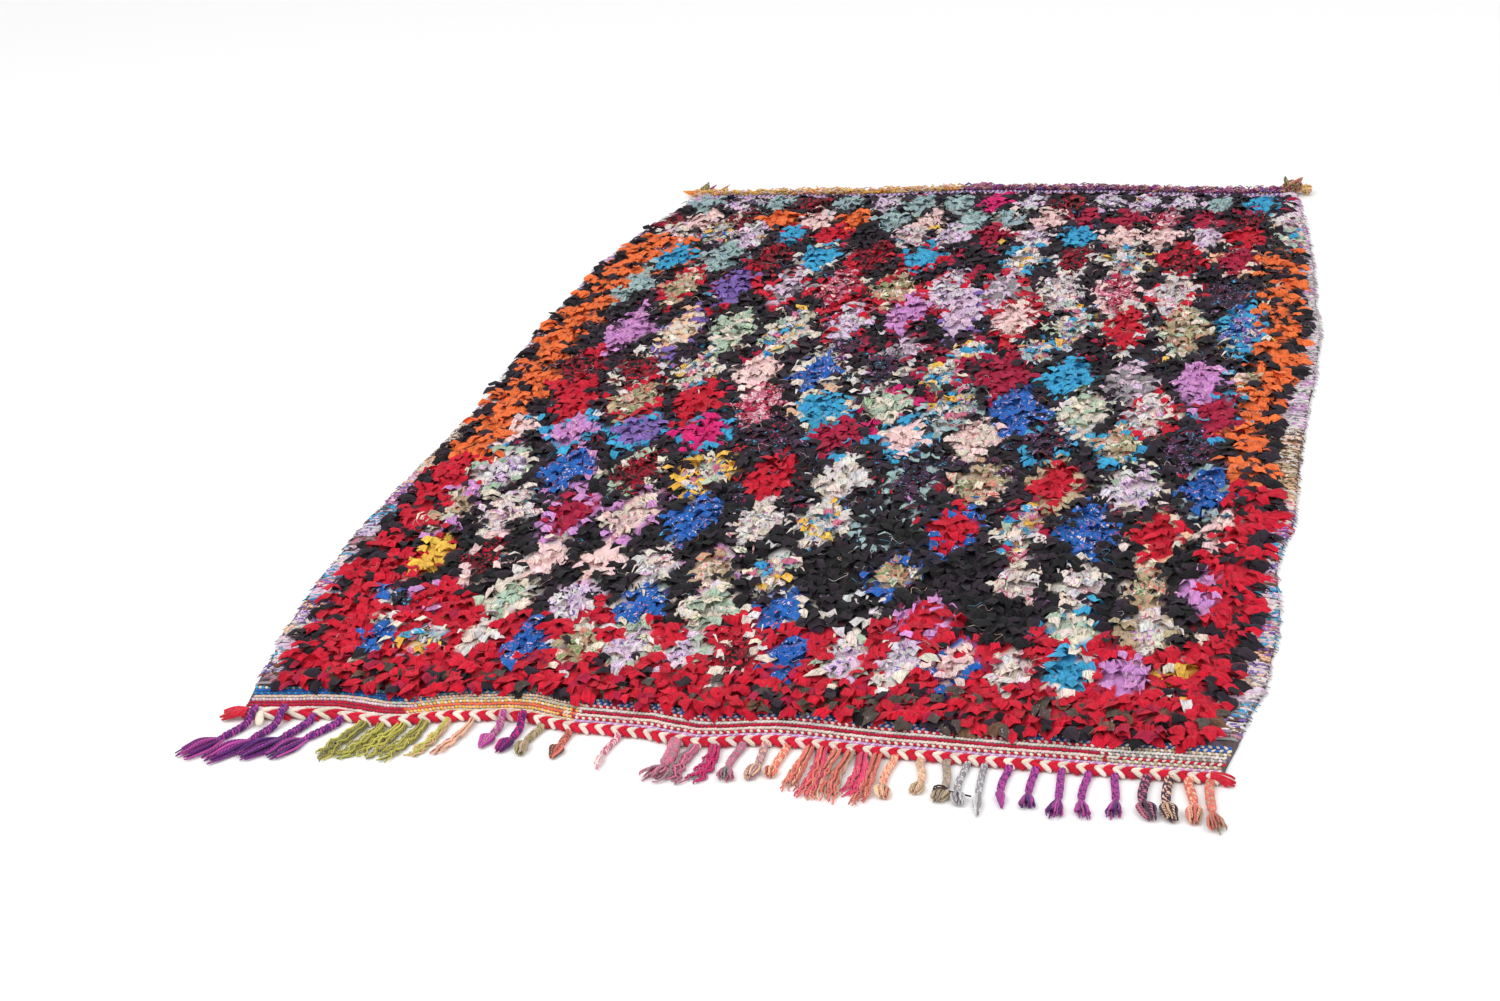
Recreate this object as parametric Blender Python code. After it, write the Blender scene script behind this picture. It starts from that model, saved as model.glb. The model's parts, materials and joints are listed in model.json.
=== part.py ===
"""A hand-woven rag-pile rug lying flat, with its flat-woven ends, twined end chain, fringe and far cord.

Metres, +Z up. The origin is on the underside of the cloth, near its middle. -Y is the fringed end,
+Y the corded end, and X runs across the rug.
"""

import math
import random
from collections import namedtuple

import bmesh
import bpy
from mathutils import Vector

# The woven cloth
NEAR_Y = -1.260
FAR_Y = 1.230
LENGTH = FAR_Y - NEAR_Y
SHOULDER = 0.004
EDGE_HEIGHT = 0.0045
SELVEDGE_HEIGHT = 0.0070
SELVEDGE_WAVE = 0.0008
GAP = 0.0003

# The flat-woven bands at the two ends
NEAR_BAND = 0.080
FAR_BAND = 0.028
BAND_VALLEY = 0.0050
BAND_RIBS = 8
RIB_HEIGHT = 0.0014

# The rag pile: a lumpy field with a steep rim
PILE_LOW = 0.0175
PILE_HIGH = 0.0285
LUMP = 0.26
PILE_COLUMNS = 35
COLUMNS = PILE_COLUMNS + 9
PILE_ROWS = 52
LEDGE_IN = 0.001
LEDGE_HEIGHT = 0.0098
WALL_IN = 0.006
WALL_HEIGHT = 0.0175
RIM_WANDER = 0.004

# The locks of rag that stand out over the rim
SIDE_LOCK = 0.036
NEAR_LOCK = 0.034
FAR_LOCK = 0.016
LOCK_TIP_WIDTH = 0.38
LOCK_TIP_LOW = 0.0090
LOCK_TIP_HIGH = 0.0140
SHORTEST_LOCK = 0.62
LOCK_TURN = 0.16

# The twined chain along the fringed end
CHAIN_STITCHES = 78
CHAIN_HALF_WIDTH = 0.0078
CHAIN_BOTTOM = 0.0043
CHAIN_HEIGHT = 0.0105
CHAIN_RELIEF = 0.0016
CHAIN_LEFT_TAIL = 0.030
CHAIN_RIGHT_TAIL = 0.018
STITCH_LEAN = 1.4
TAIL_SLIM = 0.35
TAIL_SLIMS_OVER = 0.015
TAIL_DROPS_FROM = 0.002
TAIL_DROPS_OVER = 0.010

# The chain's section: across the bar, how high, and how far the stitch's ridge lags at that point
RingPoint = namedtuple("RingPoint", "across up lag")
CHAIN_RING = (
    RingPoint(-0.70, 0.0, 0.5),
    RingPoint(0.70, 0.0, 0.5),
    RingPoint(1.0, 0.42, 0.5),
    RingPoint(0.62, 0.92, 0.25),
    RingPoint(0.0, 0.84, 0.0),
    RingPoint(-0.62, 0.92, 0.25),
    RingPoint(-1.0, 0.42, 0.5),
)

# The fringe: a strip under the chain, and the tassels that leave it
STRIP_WIDTH = 0.0170
STRIP_HEIGHT = 0.0040
STRIP_MARGIN = 0.004
ROOT_STEP = 0.008
ROOT_CLEAR = 0.0005
PLAIT_HEIGHT = 0.0082
HEAD_HEIGHT = 0.0090
FINGER_HEIGHT = 0.0085
TIP_HEIGHT = 0.0040
FINGER_SPREAD = 0.28
TIP_SPREAD = 0.55
TIP_WIDTH = 0.45
SIDE_FINGER_SHORTER = 0.16

# The cord along the far end and the knots at its corners
CORD_RADIUS = 0.0066
CORD_TWISTS = 46
CORD_RELIEF = 0.0011
CORD_SIDES = 6
CORD_TUCK = 0.0008
CORD_LEFT_OVER = 0.002
CORD_RIGHT_SHORT = 0.0138

Knot = namedtuple("Knot", "name end outward beyond width depth height")
KNOTS = (
    Knot("corner_knot_left", "left", -0.0161, 0.008, 0.030, 0.032, 0.022),
    Knot("corner_knot_right", "right", 0.0136, 0.0128, 0.052, 0.058, 0.034),
)
KNOT_LUMP = 0.10
KNOT_SITS = 0.46

Side = namedtuple("Side", "along left right left_selvedge right_selvedge")
SIDES = (
    Side(0.00, -0.722, 0.722, 0.058, 0.056),
    Side(0.13, -0.742, 0.742, 0.054, 0.056),
    Side(0.26, -0.768, 0.768, 0.040, 0.060),
    Side(0.46, -0.784, 0.778, 0.032, 0.048),
    Side(0.62, -0.790, 0.766, 0.034, 0.034),
    Side(0.81, -0.786, 0.788, 0.030, 0.036),
    Side(1.01, -0.776, 0.788, 0.028, 0.058),
    Side(1.21, -0.768, 0.794, 0.026, 0.058),
    Side(1.41, -0.778, 0.804, 0.026, 0.040),
    Side(1.61, -0.786, 0.808, 0.028, 0.036),
    Side(1.81, -0.780, 0.794, 0.026, 0.036),
    Side(1.98, -0.782, 0.786, 0.026, 0.034),
    Side(2.14, -0.757, 0.774, 0.026, 0.032),
    Side(2.30, -0.726, 0.757, 0.026, 0.030),
    Side(2.40, -0.698, 0.744, 0.026, 0.028),
    Side(2.49, -0.680, 0.734, 0.026, 0.028),
)

End = namedtuple("End", "across near far")
ENDS = (
    End(-0.73, -0.014, -0.026),
    End(-0.58, 0.002, -0.022),
    End(-0.49, -0.010, -0.018),
    End(-0.39, 0.018, -0.015),
    End(-0.30, 0.030, -0.014),
    End(-0.20, 0.008, -0.004),
    End(-0.10, 0.004, 0.010),
    End(-0.02, -0.012, 0.020),
    End(0.10, 0.006, 0.018),
    End(0.28, -0.008, 0.020),
    End(0.45, -0.014, 0.002),
    End(0.60, -0.018, -0.005),
    End(0.75, -0.020, 0.002),
)

Tassels = namedtuple("Tassels", "first last count reach sway width kind")
FRINGE = (
    Tassels(-0.694, -0.560, 4, 0.118, -0.062, 0.0105, "plait"),
    Tassels(-0.520, -0.430, 4, 0.098, -0.030, 0.0150, "loose"),
    Tassels(-0.396, -0.360, 2, 0.090, -0.026, 0.0095, "plait"),
    Tassels(-0.312, -0.250, 3, 0.084, -0.006, 0.0100, "plait"),
    Tassels(-0.204, -0.204, 1, 0.080, -0.004, 0.0080, "plait"),
    Tassels(-0.130, -0.130, 1, 0.088, -0.008, 0.0115, "plait"),
    Tassels(-0.040, 0.018, 3, 0.094, -0.012, 0.0150, "loose"),
    Tassels(0.056, 0.120, 3, 0.084, -0.004, 0.0105, "plait"),
    Tassels(0.152, 0.250, 6, 0.112, -0.004, 0.0120, "loose"),
    Tassels(0.276, 0.350, 3, 0.092, 0.004, 0.0105, "plait"),
    Tassels(0.378, 0.402, 2, 0.110, 0.006, 0.0090, "plait"),
    Tassels(0.436, 0.580, 5, 0.104, 0.006, 0.0105, "plait"),
    Tassels(0.622, 0.652, 2, 0.108, 0.014, 0.0115, "plait"),
    Tassels(0.678, 0.706, 2, 0.104, 0.016, 0.0115, "loose"),
)
TASSEL_SEED = 11

# How many strands a tassel parts into, where its sections lie along it, and how wide each one is
Kind = namedtuple("Kind", "lanes shares widths")
KINDS = {
    "plait": Kind(2, (0.0, 0.10, 0.40, 0.72), (1.0, 1.0, 0.86, 1.22)),
    "loose": Kind(3, (0.0, 0.16, 0.34, 0.50), (1.0, 1.05, 1.10, 1.15)),
}

Tassel = namedtuple("Tassel", "root reach sway width kind")
Section = namedtuple("Section", "centre right half_width low high")


def smooth(rows, column, at):
    """The value of a table's column at a station, on a smooth curve through its rows."""
    stations = [row[0] for row in rows]
    values = [getattr(row, column) for row in rows]
    if at <= stations[0]:
        return values[0]
    for k in range(1, len(rows)):
        if at <= stations[k]:
            share = (at - stations[k - 1]) / (stations[k] - stations[k - 1])
            ease = share * share * (3 - 2 * share)
            return values[k - 1] + (values[k] - values[k - 1]) * ease
    return values[-1]


def side(column, y):
    return smooth(SIDES, column, y - NEAR_Y)


def wave(end, x):
    """How far the near or far edge strays from straight at a place across the rug."""
    return smooth(ENDS, end, x)


def column_x(line, lines, y):
    """The X of one of the lines that run along the rug, counted from its left edge."""
    left, right = side("left", y), side("right", y)
    pile_left = left + side("left_selvedge", y)
    pile_right = right - side("right_selvedge", y)
    from_left = (left, left + SHOULDER, pile_left, pile_left + LEDGE_IN, pile_left + WALL_IN)
    from_right = (right, right - SHOULDER, pile_right, pile_right - LEDGE_IN, pile_right - WALL_IN)
    last = lines - 1
    if line < 5:
        return from_left[line]
    if line > last - 5:
        return from_right[last - line]
    share = (line - 4) / (last - 8)
    return from_left[4] + (from_right[4] - from_left[4]) * share


def edge_stations(y):
    """Where the lines that run along the rug meet its near or far edge."""
    return [column_x(line, COLUMNS, y) for line in range(COLUMNS)]


def edge_y(end, x):
    """The Y of the cloth's near or far edge, which runs straight from one line to the next."""
    y = NEAR_Y if end == "near" else FAR_Y
    stations = edge_stations(y)
    x = min(max(x, stations[0]), stations[-1])
    for a, b in zip(stations, stations[1:]):
        if x <= b:
            share = (x - a) / (b - a)
            return y + wave(end, a) * (1 - share) + wave(end, b) * share
    return y + wave(end, stations[-1])


def row_offsets():
    """How far each line that runs across the rug lies from the near edge of a rug of full length."""
    rib = (NEAR_BAND - SHOULDER) / (2 * BAND_RIBS)
    near = [0.0, SHOULDER] + [SHOULDER + rib * k for k in range(1, 2 * BAND_RIBS)]
    near += [NEAR_BAND, NEAR_BAND + LEDGE_IN, NEAR_BAND + WALL_IN]
    rim = LENGTH - FAR_BAND
    far = [rim - WALL_IN, rim - LEDGE_IN, rim, LENGTH - SHOULDER, LENGTH]
    step = (far[0] - near[-1]) / PILE_ROWS
    field = [near[-1] + step * k for k in range(1, PILE_ROWS)]
    return near + field + far


def depth_class(line, lines, rim):
    """0 on the edge, 1 on the flat weave, 2 on the ledge, 3 at the top of the rim, 4 in the field."""
    from_side = min(line - rim[0], lines - 1 - rim[1] - line)
    if line == 0 or line == lines - 1:
        return 0
    return 1 if from_side <= 0 else min(from_side + 1, 4)


def rug_height(column, row, columns, rows, offsets, lumps):
    near_rim = 2 * BAND_RIBS + 1
    across = depth_class(column, columns, (2, 2))
    along = depth_class(row, rows, (near_rim, 2))
    depth = min(across, along)
    if depth == 0:
        return EDGE_HEIGHT
    if depth == 1:
        if offsets[row] < NEAR_BAND - GAP:
            return BAND_VALLEY + (RIB_HEIGHT if row % 2 == 0 else 0.0)
        return SELVEDGE_HEIGHT + SELVEDGE_WAVE * math.sin(2.3 * row) * (along > 1)
    if depth == 2:
        return LEDGE_HEIGHT
    if depth == 3:
        return WALL_HEIGHT
    raised = 1 - LUMP if (column + row) % 2 else LUMP
    share = raised + LUMP * (2 * lumps.random() - 1)
    return PILE_LOW + (PILE_HIGH - PILE_LOW) * share


def new_object(name, mesh_data, material, collection):
    mesh = bpy.data.meshes.new(name)
    bmesh.ops.recalc_face_normals(mesh_data, faces=mesh_data.faces)
    mesh_data.to_mesh(mesh)
    mesh_data.free()
    mesh.materials.append(material)
    made = bpy.data.objects.new(name, mesh)
    collection.objects.link(made)
    return made


def material_of(name, colour, roughness):
    made = bpy.data.materials.new(name)
    made.use_nodes = True
    shader = made.node_tree.nodes["Principled BSDF"]
    shader.inputs["Base Color"].default_value = (*colour, 1.0)
    shader.inputs["Roughness"].default_value = roughness
    shader.inputs["Metallic"].default_value = 0.0
    return made


def grid(columns, rows):
    """A flat grid with its vertices in rows, as a list of rows, left to right and near to far."""
    mesh_data = bmesh.new()
    made = bmesh.ops.create_grid(
        mesh_data, x_segments=columns - 1, y_segments=rows - 1, size=1.0
    )["verts"]
    ordered = sorted(made, key=lambda v: (round(v.co.y, 5), v.co.x))
    return mesh_data, [ordered[k * columns:(k + 1) * columns] for k in range(rows)]


def section_point(section, across, up):
    middle = section.centre + section.right * (across * section.half_width)
    return Vector((middle.x, middle.y, section.low + up * (section.high - section.low)))


def push(mesh_data, faces, before, after):
    """Extrudes a set of faces that fills one section of a strand to the next section."""
    made = bmesh.ops.extrude_face_region(mesh_data, geom=faces)["geom"]
    for vertex in [g for g in made if isinstance(g, bmesh.types.BMVert)]:
        offset = vertex.co - before.centre
        across = offset.dot(before.right) / before.half_width
        up = (vertex.co.z - before.low) / (before.high - before.low)
        vertex.co = section_point(after, across, up)
    bmesh.ops.delete(mesh_data, geom=[f for f in faces if f.is_valid], context="FACES_ONLY")
    return [g for g in made if isinstance(g, bmesh.types.BMFace)]


def grow_lock(mesh_data, face, outward, reach, turn):
    """Draws a face of the rim out into one tapered lock whose tip droops over the flat weave."""
    middle = face.calc_center_median()
    made = bmesh.ops.extrude_discrete_faces(mesh_data, faces=[face])["faces"][0]
    sideways = Vector((-outward.y, outward.x, 0.0))
    top = max(v.co.z for v in made.verts)
    for vertex in made.verts:
        offset = (vertex.co - middle).dot(sideways) * LOCK_TIP_WIDTH
        height = LOCK_TIP_HIGH if vertex.co.z > top - 0.002 else LOCK_TIP_LOW
        place = middle + outward * reach + sideways * (offset + turn * reach)
        vertex.co = Vector((place.x, place.y, height))


def rim_faces(corners, columns, rows, near_rim):
    """The faces between the ledge and the top of the rim, with the way each one looks."""
    found = []
    for row in range(near_rim + 2, rows - 5):
        for column, outward in ((3, Vector((-1, 0, 0))), (columns - 5, Vector((1, 0, 0)))):
            if row % 5:
                found.append((corners[row][column], corners[row + 1][column + 1], outward, SIDE_LOCK))
    for column in range(4, columns - 5):
        found.append((corners[near_rim + 1][column], corners[near_rim + 2][column + 1],
                      Vector((0, -1, 0)), NEAR_LOCK))
        if column % 3 == 0:
            found.append((corners[rows - 5][column], corners[rows - 4][column + 1],
                          Vector((0, 1, 0)), FAR_LOCK))
    return [(set(a.link_faces) & set(b.link_faces), outward, reach) for a, b, outward, reach in found]


def make_rug(material, collection):
    """The woven cloth and its pile as one solid: a lumpy slab with a flat underside and locks at its rim."""
    lumps = random.Random(5)
    columns = COLUMNS
    offsets = row_offsets()
    rows = len(offsets)
    near_rim = 2 * BAND_RIBS + 1
    mesh_data, corners = grid(columns, rows)
    for row in range(rows):
        share = offsets[row] / LENGTH
        for column in range(columns):
            x = column_x(column, columns, NEAR_Y + offsets[row])
            if 2 <= column <= 4 and row > near_rim + 2:
                x += RIM_WANDER * math.sin(1.9 * row)
            stretch = (1 - share) * wave("near", x) + share * wave("far", x)
            z = rug_height(column, row, columns, rows, offsets, lumps)
            corners[row][column].co = Vector((x, NEAR_Y + offsets[row] + stretch, z))
    border = [e for e in mesh_data.edges if e.is_boundary]
    wall = bmesh.ops.extrude_edge_only(mesh_data, edges=border)["geom"]
    for vertex in [g for g in wall if isinstance(g, bmesh.types.BMVert)]:
        vertex.co.z = 0.0
    underside = [e for e in mesh_data.edges if e.is_boundary]
    bmesh.ops.edgeloop_fill(mesh_data, edges=underside)
    for shared, outward, reach in rim_faces(corners, columns, rows, near_rim):
        face = shared.pop()
        length = reach * lumps.uniform(SHORTEST_LOCK, 1.0)
        grow_lock(mesh_data, face, outward, length, lumps.uniform(-LOCK_TURN, LOCK_TURN))
    return new_object("rug_cloth", mesh_data, material, collection)


def rolled_tube(name, steps, sides, place, material, collection):
    """A closed tube: a grid rolled round its path, its seam welded and its ends filled."""
    mesh_data, corners = grid(sides + 1, steps + 1)
    for step, ring in enumerate(corners):
        for turn, vertex in enumerate(ring):
            vertex.co = place(step, turn % sides)
    bmesh.ops.remove_doubles(mesh_data, verts=mesh_data.verts, dist=0.00001)
    bmesh.ops.holes_fill(mesh_data, edges=[e for e in mesh_data.edges if e.is_boundary], sides=sides)
    return new_object(name, mesh_data, material, collection)


def make_chain(material, collection):
    """Two rag strands twined over the warp ends: a flat-bottomed bar with a V-shaped stitch each pitch."""
    left, right = SIDES[0].left - CHAIN_LEFT_TAIL, SIDES[0].right + CHAIN_RIGHT_TAIL
    steps = 2 * CHAIN_STITCHES

    def place(step, turn):
        across, up, lag = CHAIN_RING[turn]
        x = left + (right - left) * (step + lag * STITCH_LEAN) / steps
        beyond = max(SIDES[0].left - x, x - SIDES[0].right, 0.0)
        slim = 1.0 - TAIL_SLIM * min(beyond / TAIL_SLIMS_OVER, 1.0)
        ridge = CHAIN_RELIEF * (1 if step % 2 else -1) * (up > 0)
        droop = CHAIN_BOTTOM * min(max(beyond - TAIL_DROPS_FROM, 0.0) / TAIL_DROPS_OVER, 1.0)
        half = (CHAIN_HALF_WIDTH - CHAIN_RELIEF) * slim + ridge * abs(across)
        y = edge_y("near", x) - GAP - STRIP_WIDTH / 2 + across * half
        return Vector((x, y, CHAIN_BOTTOM - droop + up * CHAIN_HEIGHT * slim + ridge * up * 0.6))

    return rolled_tube("end_chain", steps, len(CHAIN_RING), place, material, collection)


def clear_of(stations, root, width):
    """The root moved, if it has to be, so that the cloth's edge bends beside it and not inside it."""
    for x in stations:
        room = width / 2 + ROOT_CLEAR
        if abs(root - x) < room:
            return x + math.copysign(room, root - x)
    return root


def tassel_list():
    """Every tassel, from the groups along the fringe."""
    chance = random.Random(TASSEL_SEED)
    made = []
    bends = edge_stations(NEAR_Y)
    for group in FRINGE:
        pitch = (group.last - group.first) / max(group.count - 1, 1)
        for k in range(group.count):
            root = clear_of(bends, group.first + pitch * k, group.width)
            reach = group.reach * chance.uniform(0.88, 1.08)
            sway = group.sway + chance.uniform(-0.004, 0.004)
            made.append(Tassel(root, reach, sway, group.width, group.kind))
    return made


def tassel_sections(tassel, y):
    """A tassel's sections from its root in the strip to where its strands part, and the way it heads."""
    kind = KINDS[tassel.kind]
    along = Vector((1, 0, 0))
    sections = [Section(Vector((tassel.root, y, 0)), along, tassel.width / 2, 0.0, STRIP_HEIGHT)]
    heading = Vector((tassel.sway, -tassel.reach, 0)).normalized()
    sideways = Vector((-heading.y, heading.x, 0))
    for share, scale in zip(kind.shares, kind.widths):
        x = tassel.root + tassel.sway * share ** 1.25
        centre = Vector((x, y - ROOT_STEP - (tassel.reach - ROOT_STEP) * share, 0))
        right = along.lerp(sideways, share).normalized()
        high = PLAIT_HEIGHT if share < 0.6 else HEAD_HEIGHT
        sections.append(Section(centre, right, tassel.width * scale / 2, 0.0, high))
    return sections, heading, sideways


def grow_tassel(mesh_data, faces, tassel, y):
    """Draws a tassel out of the strip's outer wall, then parts it into strands that taper to their tips."""
    sections, heading, sideways = tassel_sections(tassel, y)
    for before, after in zip(sections, sections[1:]):
        faces = push(mesh_data, faces, before, after)
    head = sections[-1]
    tip = Vector((tassel.root + tassel.sway, y - tassel.reach, 0))
    left_over = (tip - head.centre).length
    for face in faces:
        place = (face.calc_center_median() - head.centre).dot(head.right) / head.half_width
        lane = head.centre + head.right * (place * head.half_width)
        outward = sideways * place * (head.half_width + 0.10 * left_over)
        length = left_over * (1 - SIDE_FINGER_SHORTER * abs(place))
        half = head.half_width / len(faces)
        start = Section(lane, head.right, half, head.low, head.high)
        middle = Section(lane + heading * (0.5 * left_over) + outward * FINGER_SPREAD,
                         sideways, half * 0.92, 0.0, FINGER_HEIGHT)
        end = Section(lane + heading * length + outward * TIP_SPREAD, sideways, half * TIP_WIDTH,
                      0.0, TIP_HEIGHT)
        last = push(mesh_data, [face], start, middle)
        push(mesh_data, last, middle, end)


def make_fringe(material, collection):
    """The strip under the chain with the tassels drawn out of its outer wall."""
    left, right = SIDES[0].left + STRIP_MARGIN, SIDES[0].right - STRIP_MARGIN
    bends = [x for x in edge_stations(NEAR_Y) if left < x < right]
    stations = [left]
    roots = {}
    for tassel in tassel_list():
        stations += [x for x in bends if stations[-1] < x < tassel.root]
        roots[len(stations)] = tassel
        lanes = KINDS[tassel.kind].lanes
        stations += [tassel.root + tassel.width * (k / lanes - 0.5) for k in range(lanes + 1)]
    stations += [x for x in bends if stations[-1] < x] + [right]
    mesh_data, corners = grid(len(stations), 2)
    for column, x in enumerate(stations):
        for row, out in ((0, GAP + STRIP_WIDTH), (1, GAP)):
            corners[row][column].co = Vector((x, edge_y("near", x) - out, 0.0))
    for first, tassel in roots.items():
        for k in range(KINDS[tassel.kind].lanes + 1):
            corners[0][first + k].co.y = edge_y("near", tassel.root) - GAP - STRIP_WIDTH
    top = bmesh.ops.extrude_face_region(mesh_data, geom=mesh_data.faces[:])["geom"]
    for vertex in [g for g in top if isinstance(g, bmesh.types.BMVert)]:
        vertex.co.z = STRIP_HEIGHT
    for first, tassel in roots.items():
        outer = []
        for k in range(KINDS[tassel.kind].lanes):
            a, b = corners[0][first + k], corners[0][first + k + 1]
            shared = set(a.link_faces) & set(b.link_faces)
            outer += [f for f in shared if max(v.co.z for v in f.verts) > 0]
        grow_tassel(mesh_data, outer, tassel, edge_y("near", tassel.root) - GAP - STRIP_WIDTH)
    return new_object("fringe", mesh_data, material, collection)


def make_far_cord(material, collection):
    """A twisted cord lying against the far edge of the cloth."""
    left, right = SIDES[-1].left - CORD_LEFT_OVER, SIDES[-1].right - CORD_RIGHT_SHORT
    steps = 2 * CORD_TWISTS

    def place(step, turn):
        angle = 2 * math.pi * (turn + 0.5) / CORD_SIDES
        x = left + (right - left) * step / steps
        swell = CORD_RELIEF * (1 if (step + turn // 3) % 2 else -1)
        radius = CORD_RADIUS - CORD_RELIEF + swell
        y = edge_y("far", x) + GAP - CORD_TUCK + CORD_RADIUS + radius * math.sin(angle)
        z = CORD_RADIUS * (1 - math.cos(angle) / math.cos(math.pi / CORD_SIDES))
        return Vector((x, y, max(z, 0.0)))

    return rolled_tube("far_cord", steps, CORD_SIDES, place, material, collection)


def make_corner_knot(knot, material, collection):
    """A knot of gathered warp ends: a lumpy ball flattened where it rests."""
    lumps = random.Random(len(knot.name))
    corner = getattr(SIDES[-1], knot.end)
    x, y = corner + knot.outward, edge_y("far", corner) + knot.beyond
    mesh_data = bmesh.new()
    bmesh.ops.create_icosphere(mesh_data, subdivisions=2, radius=1.0)
    for vertex in mesh_data.verts:
        point = vertex.co * lumps.uniform(1 - KNOT_LUMP, 1.0)
        z = knot.height * (KNOT_SITS + (1 - KNOT_SITS) * point.z)
        vertex.co = Vector((x + point.x * knot.width / 2, y + point.y * knot.depth / 2, max(z, 0.0)))
    return new_object(knot.name, mesh_data, material, collection)


def main():
    for old in list(bpy.data.objects):
        bpy.data.objects.remove(old)
    collection = bpy.data.collections.new("rag_pile_rug")
    bpy.context.scene.collection.children.link(collection)
    rag = material_of("rag_pile", (0.060, 0.030, 0.045), 0.90)
    twined = material_of("twined_rag", (0.62, 0.05, 0.08), 0.85)
    yarn = material_of("warp_yarn", (0.52, 0.20, 0.30), 0.90)
    edging = material_of("edge_cord", (0.72, 0.45, 0.28), 0.90)
    make_rug(rag, collection)
    make_chain(twined, collection)
    make_fringe(yarn, collection)
    make_far_cord(edging, collection)
    for knot in KNOTS:
        make_corner_knot(knot, edging, collection)


main()
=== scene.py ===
"""The looks of a hand-knotted rag-pile rug: cut rag pile, woven ground, bead-like weft band,
wrapped selvedges, twined end chain, tasselled fringe, far cord and its corner knots.

Metres, +Z up. -Y is the fringed end, +Y the corded end, and X runs across the rug.
"""

import json
import math
import random
from collections import namedtuple

import bmesh
import bpy
import numpy as np
from mathutils import Matrix, Vector

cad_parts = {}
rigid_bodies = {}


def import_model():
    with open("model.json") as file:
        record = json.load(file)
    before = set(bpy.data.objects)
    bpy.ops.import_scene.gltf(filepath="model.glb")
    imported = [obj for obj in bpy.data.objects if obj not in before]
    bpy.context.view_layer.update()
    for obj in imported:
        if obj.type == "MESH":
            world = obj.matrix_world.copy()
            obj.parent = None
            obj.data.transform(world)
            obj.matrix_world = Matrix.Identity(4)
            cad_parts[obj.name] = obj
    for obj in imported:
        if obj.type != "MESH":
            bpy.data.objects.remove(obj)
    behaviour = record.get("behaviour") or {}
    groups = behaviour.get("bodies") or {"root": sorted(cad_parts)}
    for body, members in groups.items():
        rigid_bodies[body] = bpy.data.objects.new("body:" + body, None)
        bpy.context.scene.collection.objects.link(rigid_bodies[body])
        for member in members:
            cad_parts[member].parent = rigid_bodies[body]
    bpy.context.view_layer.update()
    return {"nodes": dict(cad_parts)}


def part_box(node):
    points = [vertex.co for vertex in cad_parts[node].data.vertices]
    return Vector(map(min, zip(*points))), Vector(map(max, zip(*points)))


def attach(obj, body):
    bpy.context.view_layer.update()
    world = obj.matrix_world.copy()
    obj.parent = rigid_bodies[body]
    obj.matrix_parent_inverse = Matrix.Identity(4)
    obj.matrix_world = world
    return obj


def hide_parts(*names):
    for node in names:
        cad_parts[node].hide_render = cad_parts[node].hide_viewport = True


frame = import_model()

# The camera stands at the fringed end, a little to the right, and looks down on the rug
CAMERA_PLACE = Vector((0.8688, -3.9431, 1.6843))
CAMERA_YAW = math.atan2(0.27779, 0.96064)
CAMERA_PITCH = math.radians(25.0)
CAMERA_ROLL = math.atan2(0.08542, 0.99635)
CAMERA_LENS = 55.0

# The cloth: its ends, its ground, its flat-woven bands, and the gap and strip of the fringe's root
NEAR_Y = -1.260
FAR_Y = 1.230
LENGTH = FAR_Y - NEAR_Y
GROUND_HEIGHT = 0.0046
NEAR_BAND = 0.080
FAR_BAND = 0.030
GAP = 0.0003
STRIP_WIDTH = 0.0170

# How wide the wrapped selvedge is on each side, by the distance from the near edge
Selvedge = namedtuple("Selvedge", "along left right")
SELVEDGES = (
    Selvedge(0.00, 0.052, 0.054),
    Selvedge(0.13, 0.048, 0.050),
    Selvedge(0.26, 0.050, 0.052),
    Selvedge(0.46, 0.052, 0.044),
    Selvedge(0.62, 0.050, 0.034),
    Selvedge(0.81, 0.042, 0.036),
    Selvedge(1.01, 0.034, 0.058),
    Selvedge(1.21, 0.026, 0.058),
    Selvedge(1.41, 0.026, 0.040),
    Selvedge(1.61, 0.028, 0.036),
    Selvedge(2.14, 0.026, 0.032),
    Selvedge(2.49, 0.026, 0.028),
)

# The pile: its rows and knots, the flaps' sizes, how far they reach past their knot, half their
# thickness, how many broad and narrow cuts there are, where they start, and its pieces
ROW_PITCH = 0.0236
KNOT_PITCH = 0.0134
FLAP_LENGTH = 0.043
FLAP_WIDTH = 0.0192
FLAP_REACH = 0.004
FLAP_SWELL = 0.0007
BROAD_FLAPS = 24
NARROW_FLAPS = 8
PILE_ROOT = 0.0040
PILE_PIECES = 5

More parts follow.
